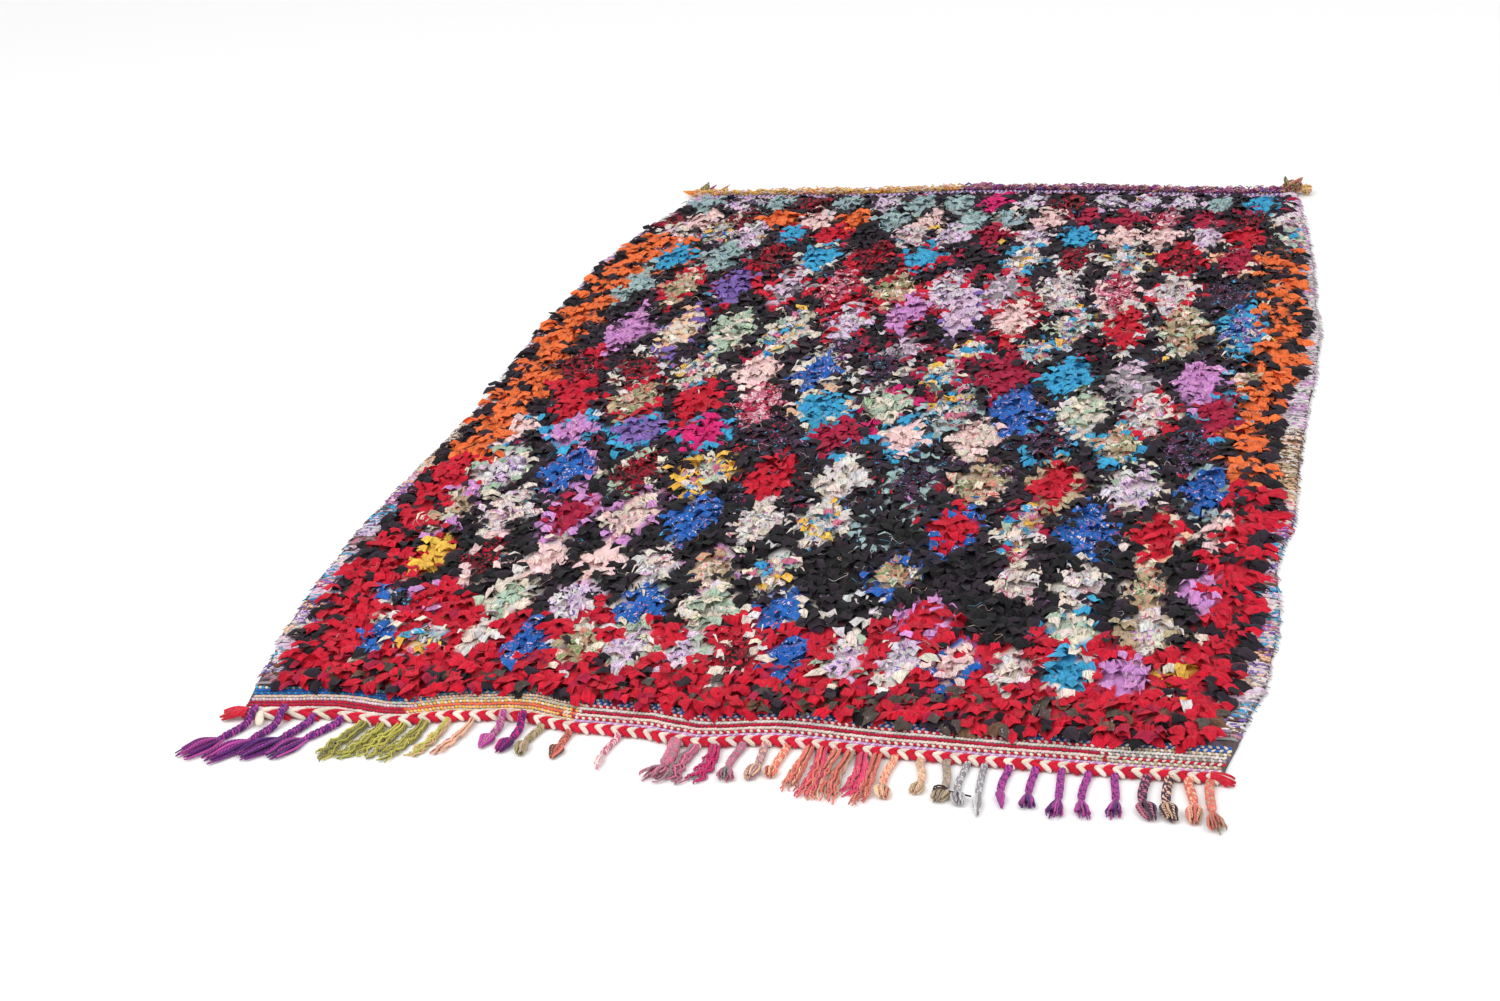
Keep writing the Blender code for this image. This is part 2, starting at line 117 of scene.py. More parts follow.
# Linear colours of the cloths and yarns
DYES = {
    "red": (0.58, 0.008, 0.030),
    "crimson": (0.40, 0.010, 0.050),
    "garnet": (0.16, 0.008, 0.020),
    "aubergine": (0.024, 0.015, 0.024),
    "black": (0.010, 0.009, 0.011),
    "dusk": (0.028, 0.018, 0.030),
    "plum": (0.055, 0.026, 0.060),
    "taupe": (0.085, 0.065, 0.055),
    "sky": (0.045, 0.36, 0.62),
    "deep_sky": (0.025, 0.24, 0.46),
    "cobalt": (0.014, 0.12, 0.46),
    "navy": (0.010, 0.030, 0.16),
    "orange": (0.85, 0.165, 0.040),
    "coral": (0.74, 0.17, 0.13),
    "lilac": (0.60, 0.26, 0.58),
    "pale_lilac": (0.72, 0.53, 0.68),
    "violet": (0.22, 0.13, 0.44),
    "pale_pink": (0.88, 0.61, 0.59),
    "rose": (0.62, 0.16, 0.26),
    "magenta": (0.66, 0.012, 0.16),
    "hot_pink": (0.76, 0.05, 0.16),
    "purple": (0.11, 0.012, 0.17),
    "orchid": (0.48, 0.055, 0.32),
    "cream": (0.76, 0.66, 0.56),
    "white": (0.70, 0.66, 0.66),
    "peach": (0.84, 0.50, 0.32),
    "mint": (0.42, 0.53, 0.42),
    "green": (0.14, 0.26, 0.09),
    "lime": (0.50, 0.46, 0.08),
    "olive": (0.24, 0.21, 0.07),
    "yellow": (0.86, 0.50, 0.07),
    "beige": (0.48, 0.36, 0.23),
    "brown": (0.15, 0.075, 0.045),
    "teal_grey": (0.34, 0.46, 0.47),
    "grey": (0.30, 0.27, 0.29),
    "pink_grey": (0.44, 0.24, 0.30),
}

# A cloth's grounds and printed figures, the share that the figures cover, and of narrow strips
Cloth = namedtuple("Cloth", "grounds figures share narrow")
CLOTHS = {
    "red": Cloth(("red",), ("red",), 0.0, 0.04),
    "crimson": Cloth(("crimson",), ("crimson",), 0.0, 0.10),
    "orange": Cloth(("orange",), ("coral",), 0.10, 0.06),
    "sky": Cloth(("sky",), ("deep_sky",), 0.10, 0.12),
    "cobalt": Cloth(("cobalt",), ("pale_pink", "pale_lilac", "rose"), 0.30, 0.16),
    "lilac": Cloth(("lilac",), ("pale_pink",), 0.22, 0.30),
    "violet": Cloth(("violet",), ("lilac",), 0.20, 0.16),
    "pale_pink": Cloth(("pale_pink",), ("rose",), 0.08, 0.10),
    "pink_floral": Cloth(("pale_pink", "cream"), ("rose", "grey"), 0.34, 0.22),
    "cream": Cloth(("cream", "white"), ("grey",), 0.12, 0.28),
    "cream_print": Cloth(("cream", "white"), ("lilac", "grey", "rose"), 0.42, 0.26),
    "mint": Cloth(("mint", "cream"), ("green",), 0.30, 0.26),
    "teal_grey": Cloth(("teal_grey",), ("deep_sky", "cream"), 0.22, 0.25),
    "yellow": Cloth(("yellow",), ("peach",), 0.12, 0.10),
    "magenta": Cloth(("magenta",), ("magenta",), 0.0, 0.08),
    "peach": Cloth(("peach", "cream"), ("coral",), 0.12, 0.15),
    "meadow": Cloth(("beige", "cream", "beige"), ("green", "coral"), 0.42, 0.30),
    "rose_print": Cloth(("rose", "crimson"), ("pale_pink", "white"), 0.40, 0.30),
    "garnet_tweed": Cloth(("black", "garnet"), ("red",), 0.42, 0.55),
    "plum_tweed": Cloth(("aubergine", "plum", "aubergine"), ("lilac", "crimson", "sky"), 0.34, 0.50),
    "confetti": Cloth(("cream", "cream", "mint", "yellow", "sky", "rose", "white"),
                      ("cream", "cobalt", "garnet"), 0.38, 0.35),
    "blue_confetti": Cloth(("sky", "cobalt", "cream", "violet"), ("navy", "white"), 0.38, 0.30),
    "violet_print": Cloth(("pale_lilac", "white"), ("violet",), 0.36, 0.25),
    "grey_lilac": Cloth(("pale_lilac", "grey"), ("grey",), 0.36, 0.35),
    "dark": Cloth(("aubergine", "aubergine", "black", "dusk"), ("plum",), 0.08, 0.16),
    "night": Cloth(("black", "black", "aubergine"), ("black",), 0.0, 0.14),
    "taupe": Cloth(("taupe", "taupe", "brown"), ("grey",), 0.20, 0.30),
}

# The lozenge rows from the far end, and a short one that is worked in between two of them: their
# middle, their first lozenge, their pitch, how tall a lozenge is each way and how full, the cloths
# that the lozenges draw from, those of their outlines, how much higher the row lies towards the
# left and the right side, and how many lozenges it has
Lozenges = namedtuple("Lozenges", "y first pitch tall size fills edges lifts count",
                      defaults=((0.0, 0.0), 18))
PLAIN_EDGES = ("", "", "", "red", "cream", "pale_pink")
MIXED_FILLS = ("confetti", "plum_tweed", "cream_print", "meadow", "garnet_tweed", "pale_pink", "pink_floral")
BRIGHT_FILLS = ("confetti", "cream_print", "meadow", "rose_print", "violet_print", "garnet_tweed")
LOZENGES = (
    Lozenges(1.125, -0.630, 0.0860, 0.084, 1.05, ("teal_grey", "violet_print"), ("",)),
    Lozenges(1.005, -0.690, 0.0885, 0.093, 1.03, ("cream_print", "pale_pink", "teal_grey", "garnet_tweed"),
             PLAIN_EDGES),
    Lozenges(0.895, -0.650, 0.0925, 0.115, 1.03, ("cream_print", "violet_print", "confetti", "dark"),
             PLAIN_EDGES),
    Lozenges(0.745, -0.610, 0.1125, 0.140, 1.02, ("garnet_tweed", "garnet_tweed", "confetti"), PLAIN_EDGES),
    Lozenges(0.550, -0.655, 0.1165, 0.168, 1.00, ("grey_lilac", "plum_tweed", "cream_print"),
             ("red", "red", "")),
    Lozenges(0.430, -0.585, 0.1135, 0.188, 0.96, ("violet_print", "dark", "confetti"), PLAIN_EDGES,
             (-0.14, -0.09)),
    Lozenges(0.100, -0.620, 0.1215, 0.146, 0.97, ("garnet_tweed", "meadow", "confetti"), PLAIN_EDGES,
             (-0.02, -0.03)),
    Lozenges(-0.080, -0.575, 0.1220, 0.142, 0.97, MIXED_FILLS, PLAIN_EDGES),
    Lozenges(-0.220, -0.660, 0.1260, 0.115, 0.97, MIXED_FILLS, ("sky", "sky", "")),
    Lozenges(-0.400, -0.610, 0.1250, 0.135, 0.94, BRIGHT_FILLS, ("", "lilac", "mint", "")),
    Lozenges(-0.575, -0.650, 0.1115, 0.136, 1.00, MIXED_FILLS, ("", "", "lilac", "cream")),
    Lozenges(-0.755, -0.615, 0.0988, 0.112, 0.91, ("meadow", "cream_print", "confetti"), ("", "", "cream")),
    Lozenges(-0.890, -0.660, 0.1137, 0.104, 0.90, ("night", "violet_print", "mint", "night"),
             ("", "cream", "lilac")),
    Lozenges(-1.030, -0.600, 0.0835, 0.090, 1.00, ("meadow", "violet_print", "cream_print", "confetti"),
             ("cream", "mint", "")),
    Lozenges(0.215, -0.100, 0.1250, 0.100, 0.82, ("plum_tweed", "confetti", "grey_lilac"),
             ("teal_grey", "crimson"), (0.0, 0.0), 4),
)

# The lozenges that stand out, for each row by their place in it: their cloth, in the cloth of
# their outline where they have one
ACCENTS = (
    {3: "garnet_tweed", 7: "teal_grey", 8: "magenta", 10: "garnet_tweed", 12: "violet_print", 15: "sky"},
    {3: "orange", 4: "pale_pink", 5: "orange", 6: "teal_grey", 10: "pale_pink", 11: "crimson",
     12: "crimson", 13: "rose_print", 14: "crimson"},
    {3: "sky in red", 4: "red", 8: "crimson", 10: "sky", 11: "pale_pink", 12: "pale_pink", 14: "red"},
    {0: "sky in orange", 1: "teal_grey", 3: "sky in cream", 5: "sky in red", 6: "dark in crimson",
     7: "confetti in sky", 8: "garnet_tweed in white", 11: "crimson in peach"},
    {0: "teal_grey", 1: "meadow in red", 2: "violet in red", 3: "grey_lilac in red", 4: "rose_print in red",
     5: "meadow in red", 6: "violet_print in red", 9: "rose_print in pale_pink", 11: "plum_tweed"},
    {0: "lilac", 1: "peach in violet", 2: "mint", 3: "confetti in mint", 5: "lilac in crimson",
     6: "pale_lilac in violet", 7: "pale_pink in red", 9: "red in cream", 10: "meadow in mint",
     11: "blue_confetti in sky"},
    {3: "pale_pink", 4: "cobalt in cream", 5: "plum_tweed in cream", 6: "confetti in crimson",
     7: "crimson", 8: "sky", 9: "grey_lilac", 10: "lilac"},
    {0: "red", 1: "meadow in red", 2: "red", 3: "rose_print", 4: "sky in peach", 5: "mint in magenta",
     6: "confetti in teal_grey", 7: "cobalt", 8: "mint in cream", 10: "crimson in sky"},
    {0: "pale_pink in sky", 1: "lilac in sky", 2: "violet in sky", 3: "magenta in sky",
     5: "crimson in sky", 6: "pale_pink in sky", 8: "plum_tweed in sky", 9: "meadow in sky"},
    {0: "violet_print in mint", 1: "cobalt in lilac", 2: "garnet_tweed in mint", 3: "confetti in yellow",
     4: "red", 5: "cream", 6: "plum_tweed in teal_grey", 7: "meadow", 8: "red in beige",
     10: "cobalt in teal_grey"},
    {2: "crimson in lilac", 4: "cobalt", 5: "cream_print", 6: "confetti in cream", 7: "night in teal_grey",
     8: "red in cobalt", 9: "confetti in crimson", 10: "cobalt", 11: "red in peach"},
    {0: "yellow in red", 1: "garnet_tweed in pale_pink", 2: "pale_pink in cream", 3: "pale_pink",
     5: "meadow in lilac", 7: "night", 8: "meadow in cobalt", 9: "night", 13: "lilac"},
    {0: "cobalt in cream", 1: "red in lilac", 2: "mint in cream", 4: "cobalt in mint",
     6: "cobalt in cream", 8: "red in lilac", 10: "mint in sky", 11: "cream_print in beige"},
    {0: "cobalt in cream", 2: "cream in red", 3: "cobalt", 7: "garnet_tweed in cream", 8: "cobalt",
     11: "pale_pink in cobalt", 13: "sky in cream", 14: "lilac", 15: "yellow in cream"},
)

# How far out a lozenge's cloth reaches, with an outline and without, how far the outline does, and
# how far a knot strays from the chart
FILL_SHARE = 0.79
PLAIN_SHARE = 0.91
EDGE_SHARE = 0.98
CHART_WANDER = 0.0035

# The zigzag borders: how far in each has its middle, half its width, and where it ends
Border = namedtuple("Border", "middle half far")
LEFT_BORDER = Border(0.045, 0.037, 0.89)
RIGHT_BORDER = Border(0.034, 0.029, 0.81)

# Where they begin and where they turn orange, the length and the swing of one bend, and the share
# of dark knots in them and in the orange on the right
BORDER_NEAR = -1.14
ORANGE_NEAR = -0.36
BORDER_STEP = 0.100
BORDER_SWING = 0.046
BORDER_DARKS, RIGHT_DARKS = 0.20, 0.34

# Where the zones of the ground between the lozenges end, from the fringed end
SPECKLED_END, RED_END, BLACK_END, PLUM_END = -1.105, -0.895, -0.53, -0.26

# How far in from the rims the flaps turn outwards, between where they turn less on the left, and
# up to where, from the fringed end, they are longer and fewer
LEAN_WIDTH = 0.045
STEADY_NEAR, STEADY_FAR = -0.95, -0.35
LONG_END = -0.3

# The bands' slanted stitches: their step along a row, their slant and their size
WEFT_STEP = 0.0053
WEFT_SLANT = 0.72
WEFT_SIZE = (0.0092, 0.0058, 0.0050)

# The selvedges: the step of their turns, where their yarns change, and how long a stretch keeps
# the same three yarns
WRAP_STEP = 0.0058
SANDY_WRAPS, GREY_WRAPS = -0.42, -0.12
WRAP_STRETCH = 0.040

# How many threads lie loose on the pile, and how many yarn ends stick out of the selvedges and of
# the far cord
LOOSE_THREADS = 420
FRAYED_ENDS = 560
RAVELLED_ENDS = 900

# The twined chain: its ends and its stitch
CHAIN_LEFT, CHAIN_RIGHT = -0.716, 0.716
STITCH_PITCH = 0.0124

# The far cord: the yarns on its left, those on its right, where they change, and one turn's length
CORD_LEFT = ("yellow", "yellow", "white", "peach", "yellow", "orange", "pale_pink")
CORD_RIGHT = ("violet", "rose", "purple", "brown", "orchid", "peach")
CORD_CHANGE = -0.05
CORD_TWIST = 0.031

# The corner knots' yarns
EARTHY = ("olive", "brown", "beige")
WARM = ("coral", "rose", "peach", "brown")

# The fringe, as the solids have it: where each group starts and ends, how many tassels it has,
# how far they reach, how far they drift sideways, how wide one is, how many of them pass over
# the chain, and for each tassel how it ends and its two yarns
Tassels = namedtuple("Tassels", "first last count reach sway width over ends yarns")
PURPLE = ("purple", "orchid")
CORAL = ("coral", "peach")
BRIGHT = ("orchid", "purple")
FRINGE = (
    Tassels(-0.694, -0.560, 4, 0.118, -0.062, 0.0130, 2, ("plume",) * 4, (PURPLE,) * 4),
    Tassels(-0.520, -0.430, 4, 0.098, -0.030, 0.0190, 0, ("tangle",) * 4, (("lime", "olive"),) * 4),
    Tassels(-0.396, -0.360, 2, 0.090, -0.026, 0.0130, 0, ("tangle", "loose"),
            (("lime", "peach"), ("peach", "rose"))),
    Tassels(-0.312, -0.250, 3, 0.084, -0.006, 0.0120, 2, ("point", "bud", "bud"),
            (("orchid", "beige"), ("purple", "magenta"), ("beige", "olive"))),
    Tassels(-0.204, -0.204, 1, 0.080, -0.004, 0.0110, 0, ("point",), (("coral", "brown"),)),
    Tassels(-0.130, -0.130, 1, 0.088, -0.008, 0.0100, 0, ("tail",), (("rose", "pale_pink"),)),
    Tassels(-0.040, 0.018, 3, 0.094, -0.012, 0.0190, 0, ("flare", "tangle", "tangle"),
            (("rose", "pink_grey"), ("rose", "grey"), ("magenta", "grey"))),
    Tassels(0.056, 0.120, 3, 0.084, -0.004, 0.0115, 0, ("flare", "bud", "knob"),
            (("rose", "grey"), ("pink_grey", "peach"), ("coral", "peach"))),
    Tassels(0.152, 0.250, 6, 0.112, -0.004, 0.0180, 0, ("loose",) * 6,
            (CORAL, ("hot_pink", "coral"), CORAL, ("coral", "beige"), ("hot_pink", "coral"), CORAL)),
    Tassels(0.276, 0.350, 3, 0.092, 0.004, 0.0115, 0, ("knob",) * 3,
            (("peach", "coral"), ("peach", "beige"), ("beige", "grey"))),
    Tassels(0.378, 0.402, 2, 0.110, 0.006, 0.0100, 0, ("knob", "tail"), (("grey", "white"),) * 2),
    Tassels(0.436, 0.580, 5, 0.104, 0.006, 0.0110, 0, ("tail", "flare", "flare", "flare", "flare"),
            (BRIGHT,) * 5),
    Tassels(0.622, 0.652, 2, 0.108, 0.014, 0.0130, 0, ("bud", "bud"),
            (("plum", "rose"), ("plum", "peach"))),
    Tassels(0.678, 0.706, 2, 0.104, 0.016, 0.0130, 0, ("bud", "flare"),
            (("coral", "peach"), ("coral", "beige"))),
)

# How the tassels end: the share of the length that is plaited, how wide the end swells against the
# plait, where along it that is, how far it draws in again by its tip, and how ragged its tip is
Ending = namedtuple("Ending", "plaited swell peak tip ragged")
ENDINGS = {
    "plume": Ending(0.50, 1.45, 0.50, 0.66, 0.20),
    "bud": Ending(0.54, 0.98, 0.45, 0.50, 0.18),
    "point": Ending(0.50, 0.92, 0.32, 0.08, 0.08),
    "flare": Ending(0.60, 1.08, 0.85, 0.90, 0.30),
    "tail": Ending(0.60, 0.52, 0.35, 0.15, 0.30),
    "knob": Ending(0.68, 1.00, 0.50, 0.60, 0.20),
}
TASSEL_SEED = 11
TASSEL_ROOT = 0.008


def cloth_edges():
    """The cloth's left, right, near and far edges, read from the flat underside of its solid."""
    mesh = frame["nodes"]["rug_cloth"].data
    points = {(round(v.co.x, 5), round(v.co.y, 5)) for v in mesh.vertices if v.co.z < 0.00001}
    ring = sorted(points, key=lambda p: math.atan2(p[1], p[0]))
    near_left = ring.index(min(ring, key=lambda p: p[0] + p[1]))
    ring = ring[near_left:] + ring[:near_left]
    near_right = ring.index(max(ring, key=lambda p: p[0] - p[1]))
    far_right = ring.index(max(ring, key=lambda p: p[0] + p[1]))
    far_left = ring.index(min(ring, key=lambda p: p[0] - p[1]))
    near = np.array(ring[:near_right + 1])
    right = np.array(ring[near_right:far_right + 1])
    far = np.array(ring[far_right:far_left + 1])[::-1]
    left = np.array(ring[far_left:] + ring[:1])[::-1]
    x, y = np.array(ring).T
    area = float(np.sum(x * np.roll(y, -1) - y * np.roll(x, -1)) / 2)
    return left[:, ::-1].T, right[:, ::-1].T, near.T, far.T, area


LEFT, RIGHT, NEAR, FAR, CLOTH_AREA = cloth_edges()


def left_x(y):
    return np.interp(y, *LEFT)


def right_x(y):
    return np.interp(y, *RIGHT)


def near_y(x):
    return np.interp(x, *NEAR)


def far_y(x):
    return np.interp(x, *FAR)


def selvedge(side, y):
    return np.interp(y - NEAR_Y, [s.along for s in SELVEDGES], [getattr(s, side) for s in SELVEDGES])


def on_cloth(across, along):
    """The X and Y at a share of the way across from the left edge and along from the near edge."""
    across, along = np.broadcast_arrays(np.asarray(across, float), np.asarray(along, float))
    x = (across - 0.5) * 1.5
    y = NEAR_Y + LENGTH * along
    for _ in range(4):
        y = near_y(x) * (1 - along) + far_y(x) * along
        x = left_x(y) + (right_x(y) - left_x(y)) * across
    return x, y


def colour(name, chance, spread=0.12):
    """A dye with the small differences in depth and hue that rags of one dye lot have."""
    depth = chance.uniform(1 - spread, 1 + spread)
    return tuple(min(c * depth * chance.uniform(0.94, 1.06), 0.92) for c in DYES[name]) + (1.0,)


def in_scene(name, data):
    """A new object in the scene."""
    made = bpy.data.objects.new(name, data)
    bpy.context.scene.collection.objects.link(made)
    return made


def socket(tree, name, kind, value=None, side="INPUT"):
    made = tree.interface.new_socket(name=name, in_out=side, socket_type="NodeSocket" + kind)
    if value is not None:
        made.default_value = value
    return made


def group_tree(kind, name, inputs, outputs):
    """An empty group of nodes with its sockets, its input node and its output node."""
    tree = bpy.data.node_groups.new(name, kind)
    for label, sort, value in inputs:
        socket(tree, label, sort, value)
    for label, sort in outputs:
        socket(tree, label, sort, side="OUTPUT")
    return tree, tree.nodes.new("NodeGroupInput"), tree.nodes.new("NodeGroupOutput")


def put(tree, kind, **settings):
    made = tree.nodes.new(kind)
    for label, value in settings.items():
        setattr(made, label, value)
    return made


def named(tree, name, kind):
    """A node that reads one of the attributes that the points carry."""
    made = put(tree, "GeometryNodeInputNamedAttribute", data_type=kind)
    made.inputs["Name"].default_value = name
    return made.outputs["Attribute"]


def laying_tree():
    """Lays one of a set of small pieces on each point, turned, sized and dyed as the point says."""
    tree, given, made = group_tree(
        "GeometryNodeTree", "laid_pieces",
        (("Places", "Geometry", None), ("Pieces", "Collection", None), ("Smallest", "Float", 1.0),
         ("Largest", "Float", 1.0), ("Unrest", "Float", 0.0), ("Seed", "Int", 0),
         ("Finish", "Material", None)),
        (("Mesh", "Geometry"),))
    link = tree.links.new
    pieces = put(tree, "GeometryNodeCollectionInfo")
    pieces.inputs["Separate Children"].default_value = True
    pieces.inputs["Reset Children"].default_value = True
    link(given.outputs["Pieces"], pieces.inputs["Collection"])
    stray = put(tree, "FunctionNodeRandomValue", data_type="FLOAT_VECTOR")
    stray.inputs["Min"].default_value = (-1.0, -1.0, -1.0)
    stray.inputs["Max"].default_value = (1.0, 1.0, 1.0)
    link(given.outputs["Seed"], stray.inputs["Seed"])
    strayed = put(tree, "ShaderNodeVectorMath", operation="SCALE")
    link(stray.outputs["Value"], strayed.inputs[0])
    link(given.outputs["Unrest"], strayed.inputs["Scale"])
    turned = put(tree, "ShaderNodeVectorMath", operation="ADD")
    link(named(tree, "lean", "FLOAT_VECTOR"), turned.inputs[0])
    link(strayed.outputs["Vector"], turned.inputs[1])
    rotation = put(tree, "FunctionNodeEulerToRotation")
    link(turned.outputs["Vector"], rotation.inputs["Euler"])
    grade = put(tree, "FunctionNodeRandomValue", data_type="FLOAT")
    # A Random Value node has its vector ends at 0 and 1, and its number ends at 2 and 3
    link(given.outputs["Smallest"], grade.inputs[2])
    link(given.outputs["Largest"], grade.inputs[3])
    link(given.outputs["Seed"], grade.inputs["Seed"])
    sized = put(tree, "ShaderNodeVectorMath", operation="SCALE")
    link(named(tree, "size", "FLOAT_VECTOR"), sized.inputs[0])
    link(grade.outputs[1], sized.inputs["Scale"])
    laid = put(tree, "GeometryNodeInstanceOnPoints")
    laid.inputs["Pick Instance"].default_value = True
    link(given.outputs["Places"], laid.inputs["Points"])
    link(pieces.outputs["Instances"], laid.inputs["Instance"])
    link(named(tree, "cut", "INT"), laid.inputs["Instance Index"])
    link(rotation.outputs["Rotation"], laid.inputs["Rotation"])
    link(sized.outputs["Vector"], laid.inputs["Scale"])
    real = put(tree, "GeometryNodeRealizeInstances")
    link(laid.outputs["Instances"], real.inputs["Geometry"])
    finish = put(tree, "GeometryNodeSetMaterial")
    link(real.outputs["Geometry"], finish.inputs["Geometry"])
    link(given.outputs["Finish"], finish.inputs["Material"])
    link(finish.outputs["Geometry"], made.inputs["Mesh"])
    return tree


def spinning_tree():
    """Spins a closed strand round each path, as thick at each point as the path says there."""
    tree, given, made = group_tree(
        "GeometryNodeTree", "spun_strands",
        (("Paths", "Geometry", None), ("Sides", "Int", 6), ("Finish", "Material", None)),
        (("Mesh", "Geometry"),))
    link = tree.links.new
    curve = put(tree, "GeometryNodeMeshToCurve")
    link(given.outputs["Paths"], curve.inputs["Mesh"])
    ring = put(tree, "GeometryNodeCurvePrimitiveCircle")
    ring.inputs["Radius"].default_value = 1.0
    link(given.outputs["Sides"], ring.inputs["Resolution"])
    place = put(tree, "GeometryNodeInputPosition")
    kept = put(tree, "GeometryNodeStoreNamedAttribute", data_type="FLOAT_VECTOR")
    kept.inputs["Name"].default_value = "round"
    link(ring.outputs["Curve"], kept.inputs["Geometry"])
    link(place.outputs["Position"], kept.inputs["Value"])
    spun = put(tree, "GeometryNodeCurveToMesh")
    spun.inputs["Fill Caps"].default_value = True
    link(curve.outputs["Curve"], spun.inputs["Curve"])
    link(kept.outputs["Geometry"], spun.inputs["Profile Curve"])
    link(named(tree, "thick", "FLOAT"), spun.inputs["Scale"])
    real = put(tree, "GeometryNodeRealizeInstances")
    link(spun.outputs["Mesh"], real.inputs["Geometry"])
    smooth = put(tree, "GeometryNodeSetShadeSmooth")
    link(real.outputs["Geometry"], smooth.inputs["Geometry"])
    finish = put(tree, "GeometryNodeSetMaterial")
    link(smooth.outputs["Geometry"], finish.inputs["Geometry"])
    link(given.outputs["Finish"], finish.inputs["Material"])
    link(finish.outputs["Geometry"], made.inputs["Mesh"])
    return tree


FIELDS = {"FLOAT_VECTOR": "vector", "FLOAT_COLOR": "color", "FLOAT": "value", "INT": "value"}


def mark(mesh, label, kind, values):
    """Gives a mesh's points one attribute."""
    made = mesh.attributes.new(label, kind, "POINT")
    made.data.foreach_set(FIELDS[kind], np.asarray(values).ravel())


def grown(name, mesh, tree, values):
    """The plain mesh object that a tree makes of a mesh, given the tree's inputs by name."""
    source = in_scene(name + "_source", mesh)
    modifier = source.modifiers.new("growth", "NODES")
    modifier.node_group = tree
    for item in tree.interface.items_tree:
        if item.in_out == "INPUT" and item.name in values:
            modifier[item.identifier] = values[item.name]
    depsgraph = bpy.context.evaluated_depsgraph_get()
    result = bpy.data.meshes.new_from_object(
        source.evaluated_get(depsgraph), preserve_all_data_layers=True, depsgraph=depsgraph)
    bpy.data.objects.remove(source)
    return in_scene(name, result)


def riding(made, slot, *replaced):
    """Fixes a finished piece to the rug and hides the solids it stands for; the slot it is given is not used.
    """
    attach(made, "root")
    if replaced:
        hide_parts(*replaced)
    return made


Laid = namedtuple("Laid", "place lean size cut dye figure share")


def lay(name, rows, pieces, finish, unrest=0.0, smallest=1.0, largest=1.0, seed=1):
    """Lays small pieces on a list of Laid rows and joins them into one mesh."""
    mesh = bpy.data.meshes.new(name + "_places")
    mesh.from_pydata([row.place for row in rows], [], [])
    mark(mesh, "lean", "FLOAT_VECTOR", [row.lean for row in rows])
    mark(mesh, "size", "FLOAT_VECTOR", [row.size for row in rows])
    mark(mesh, "cut", "INT", [row.cut for row in rows])
    mark(mesh, "dye", "FLOAT_COLOR", [row.dye for row in rows])
    mark(mesh, "figure", "FLOAT_COLOR", [row.figure for row in rows])
    mark(mesh, "share", "FLOAT", [row.share for row in rows])
    inputs = {"Pieces": pieces, "Smallest": smallest, "Largest": largest, "Unrest": unrest,
              "Seed": seed, "Finish": finish}
    return grown(name, mesh, LAYING, inputs)


Strand = namedtuple("Strand", "points thick dye figure")


def spin(name, strands, sides, finish):
    """Spins a list of strands into one mesh."""
    places, edges, thick, run, dyes, figures = [], [], [], [], [], []
    for strand in strands:
        first = len(places)
        points = np.asarray(strand.points, float)
        steps = np.linalg.norm(np.diff(points, axis=0), axis=1)
        places += points.tolist()
        edges += [(first + k, first + k + 1) for k in range(len(points) - 1)]
        thick += list(np.broadcast_to(strand.thick, len(points)))
        run += [0.0] + np.cumsum(steps).tolist()
        dyes += strand.dye if isinstance(strand.dye, list) else [strand.dye] * len(points)
        figures += strand.figure if isinstance(strand.figure, list) else [strand.figure] * len(points)
    mesh = bpy.data.meshes.new(name + "_paths")
    mesh.from_pydata(places, edges, [])
    mark(mesh, "thick", "FLOAT", thick)
    mark(mesh, "run", "FLOAT", run)
    mark(mesh, "dye", "FLOAT_COLOR", dyes)
    mark(mesh, "figure", "FLOAT_COLOR", figures)
    return grown(name, mesh, SPINNING, {"Sides": sides, "Finish": finish})


def cutting_set(name, meshes):
    """A collection of small pieces that isn't part of the scene, in the order that points pick them."""
    made = bpy.data.collections.new(name)
    for k, mesh in enumerate(meshes):
        made.objects.link(bpy.data.objects.new(f"{name}_{k:02d}", mesh))
    return made


def put_away(pieces):
    """Removes the small pieces once they have been laid."""
    for piece in list(pieces.objects):
        bpy.data.objects.remove(piece)
    bpy.data.collections.remove(pieces)


def bent(rise, droop, share):
    """How far forward and up a strip has come at a share of its length, and its slope there."""
    slope = rise + (droop - rise) * share
    forward = (math.cos(rise) - math.cos(slope)) / (droop - rise)
    up = (math.sin(slope) - math.sin(rise)) / (droop - rise)
    return forward, up, slope


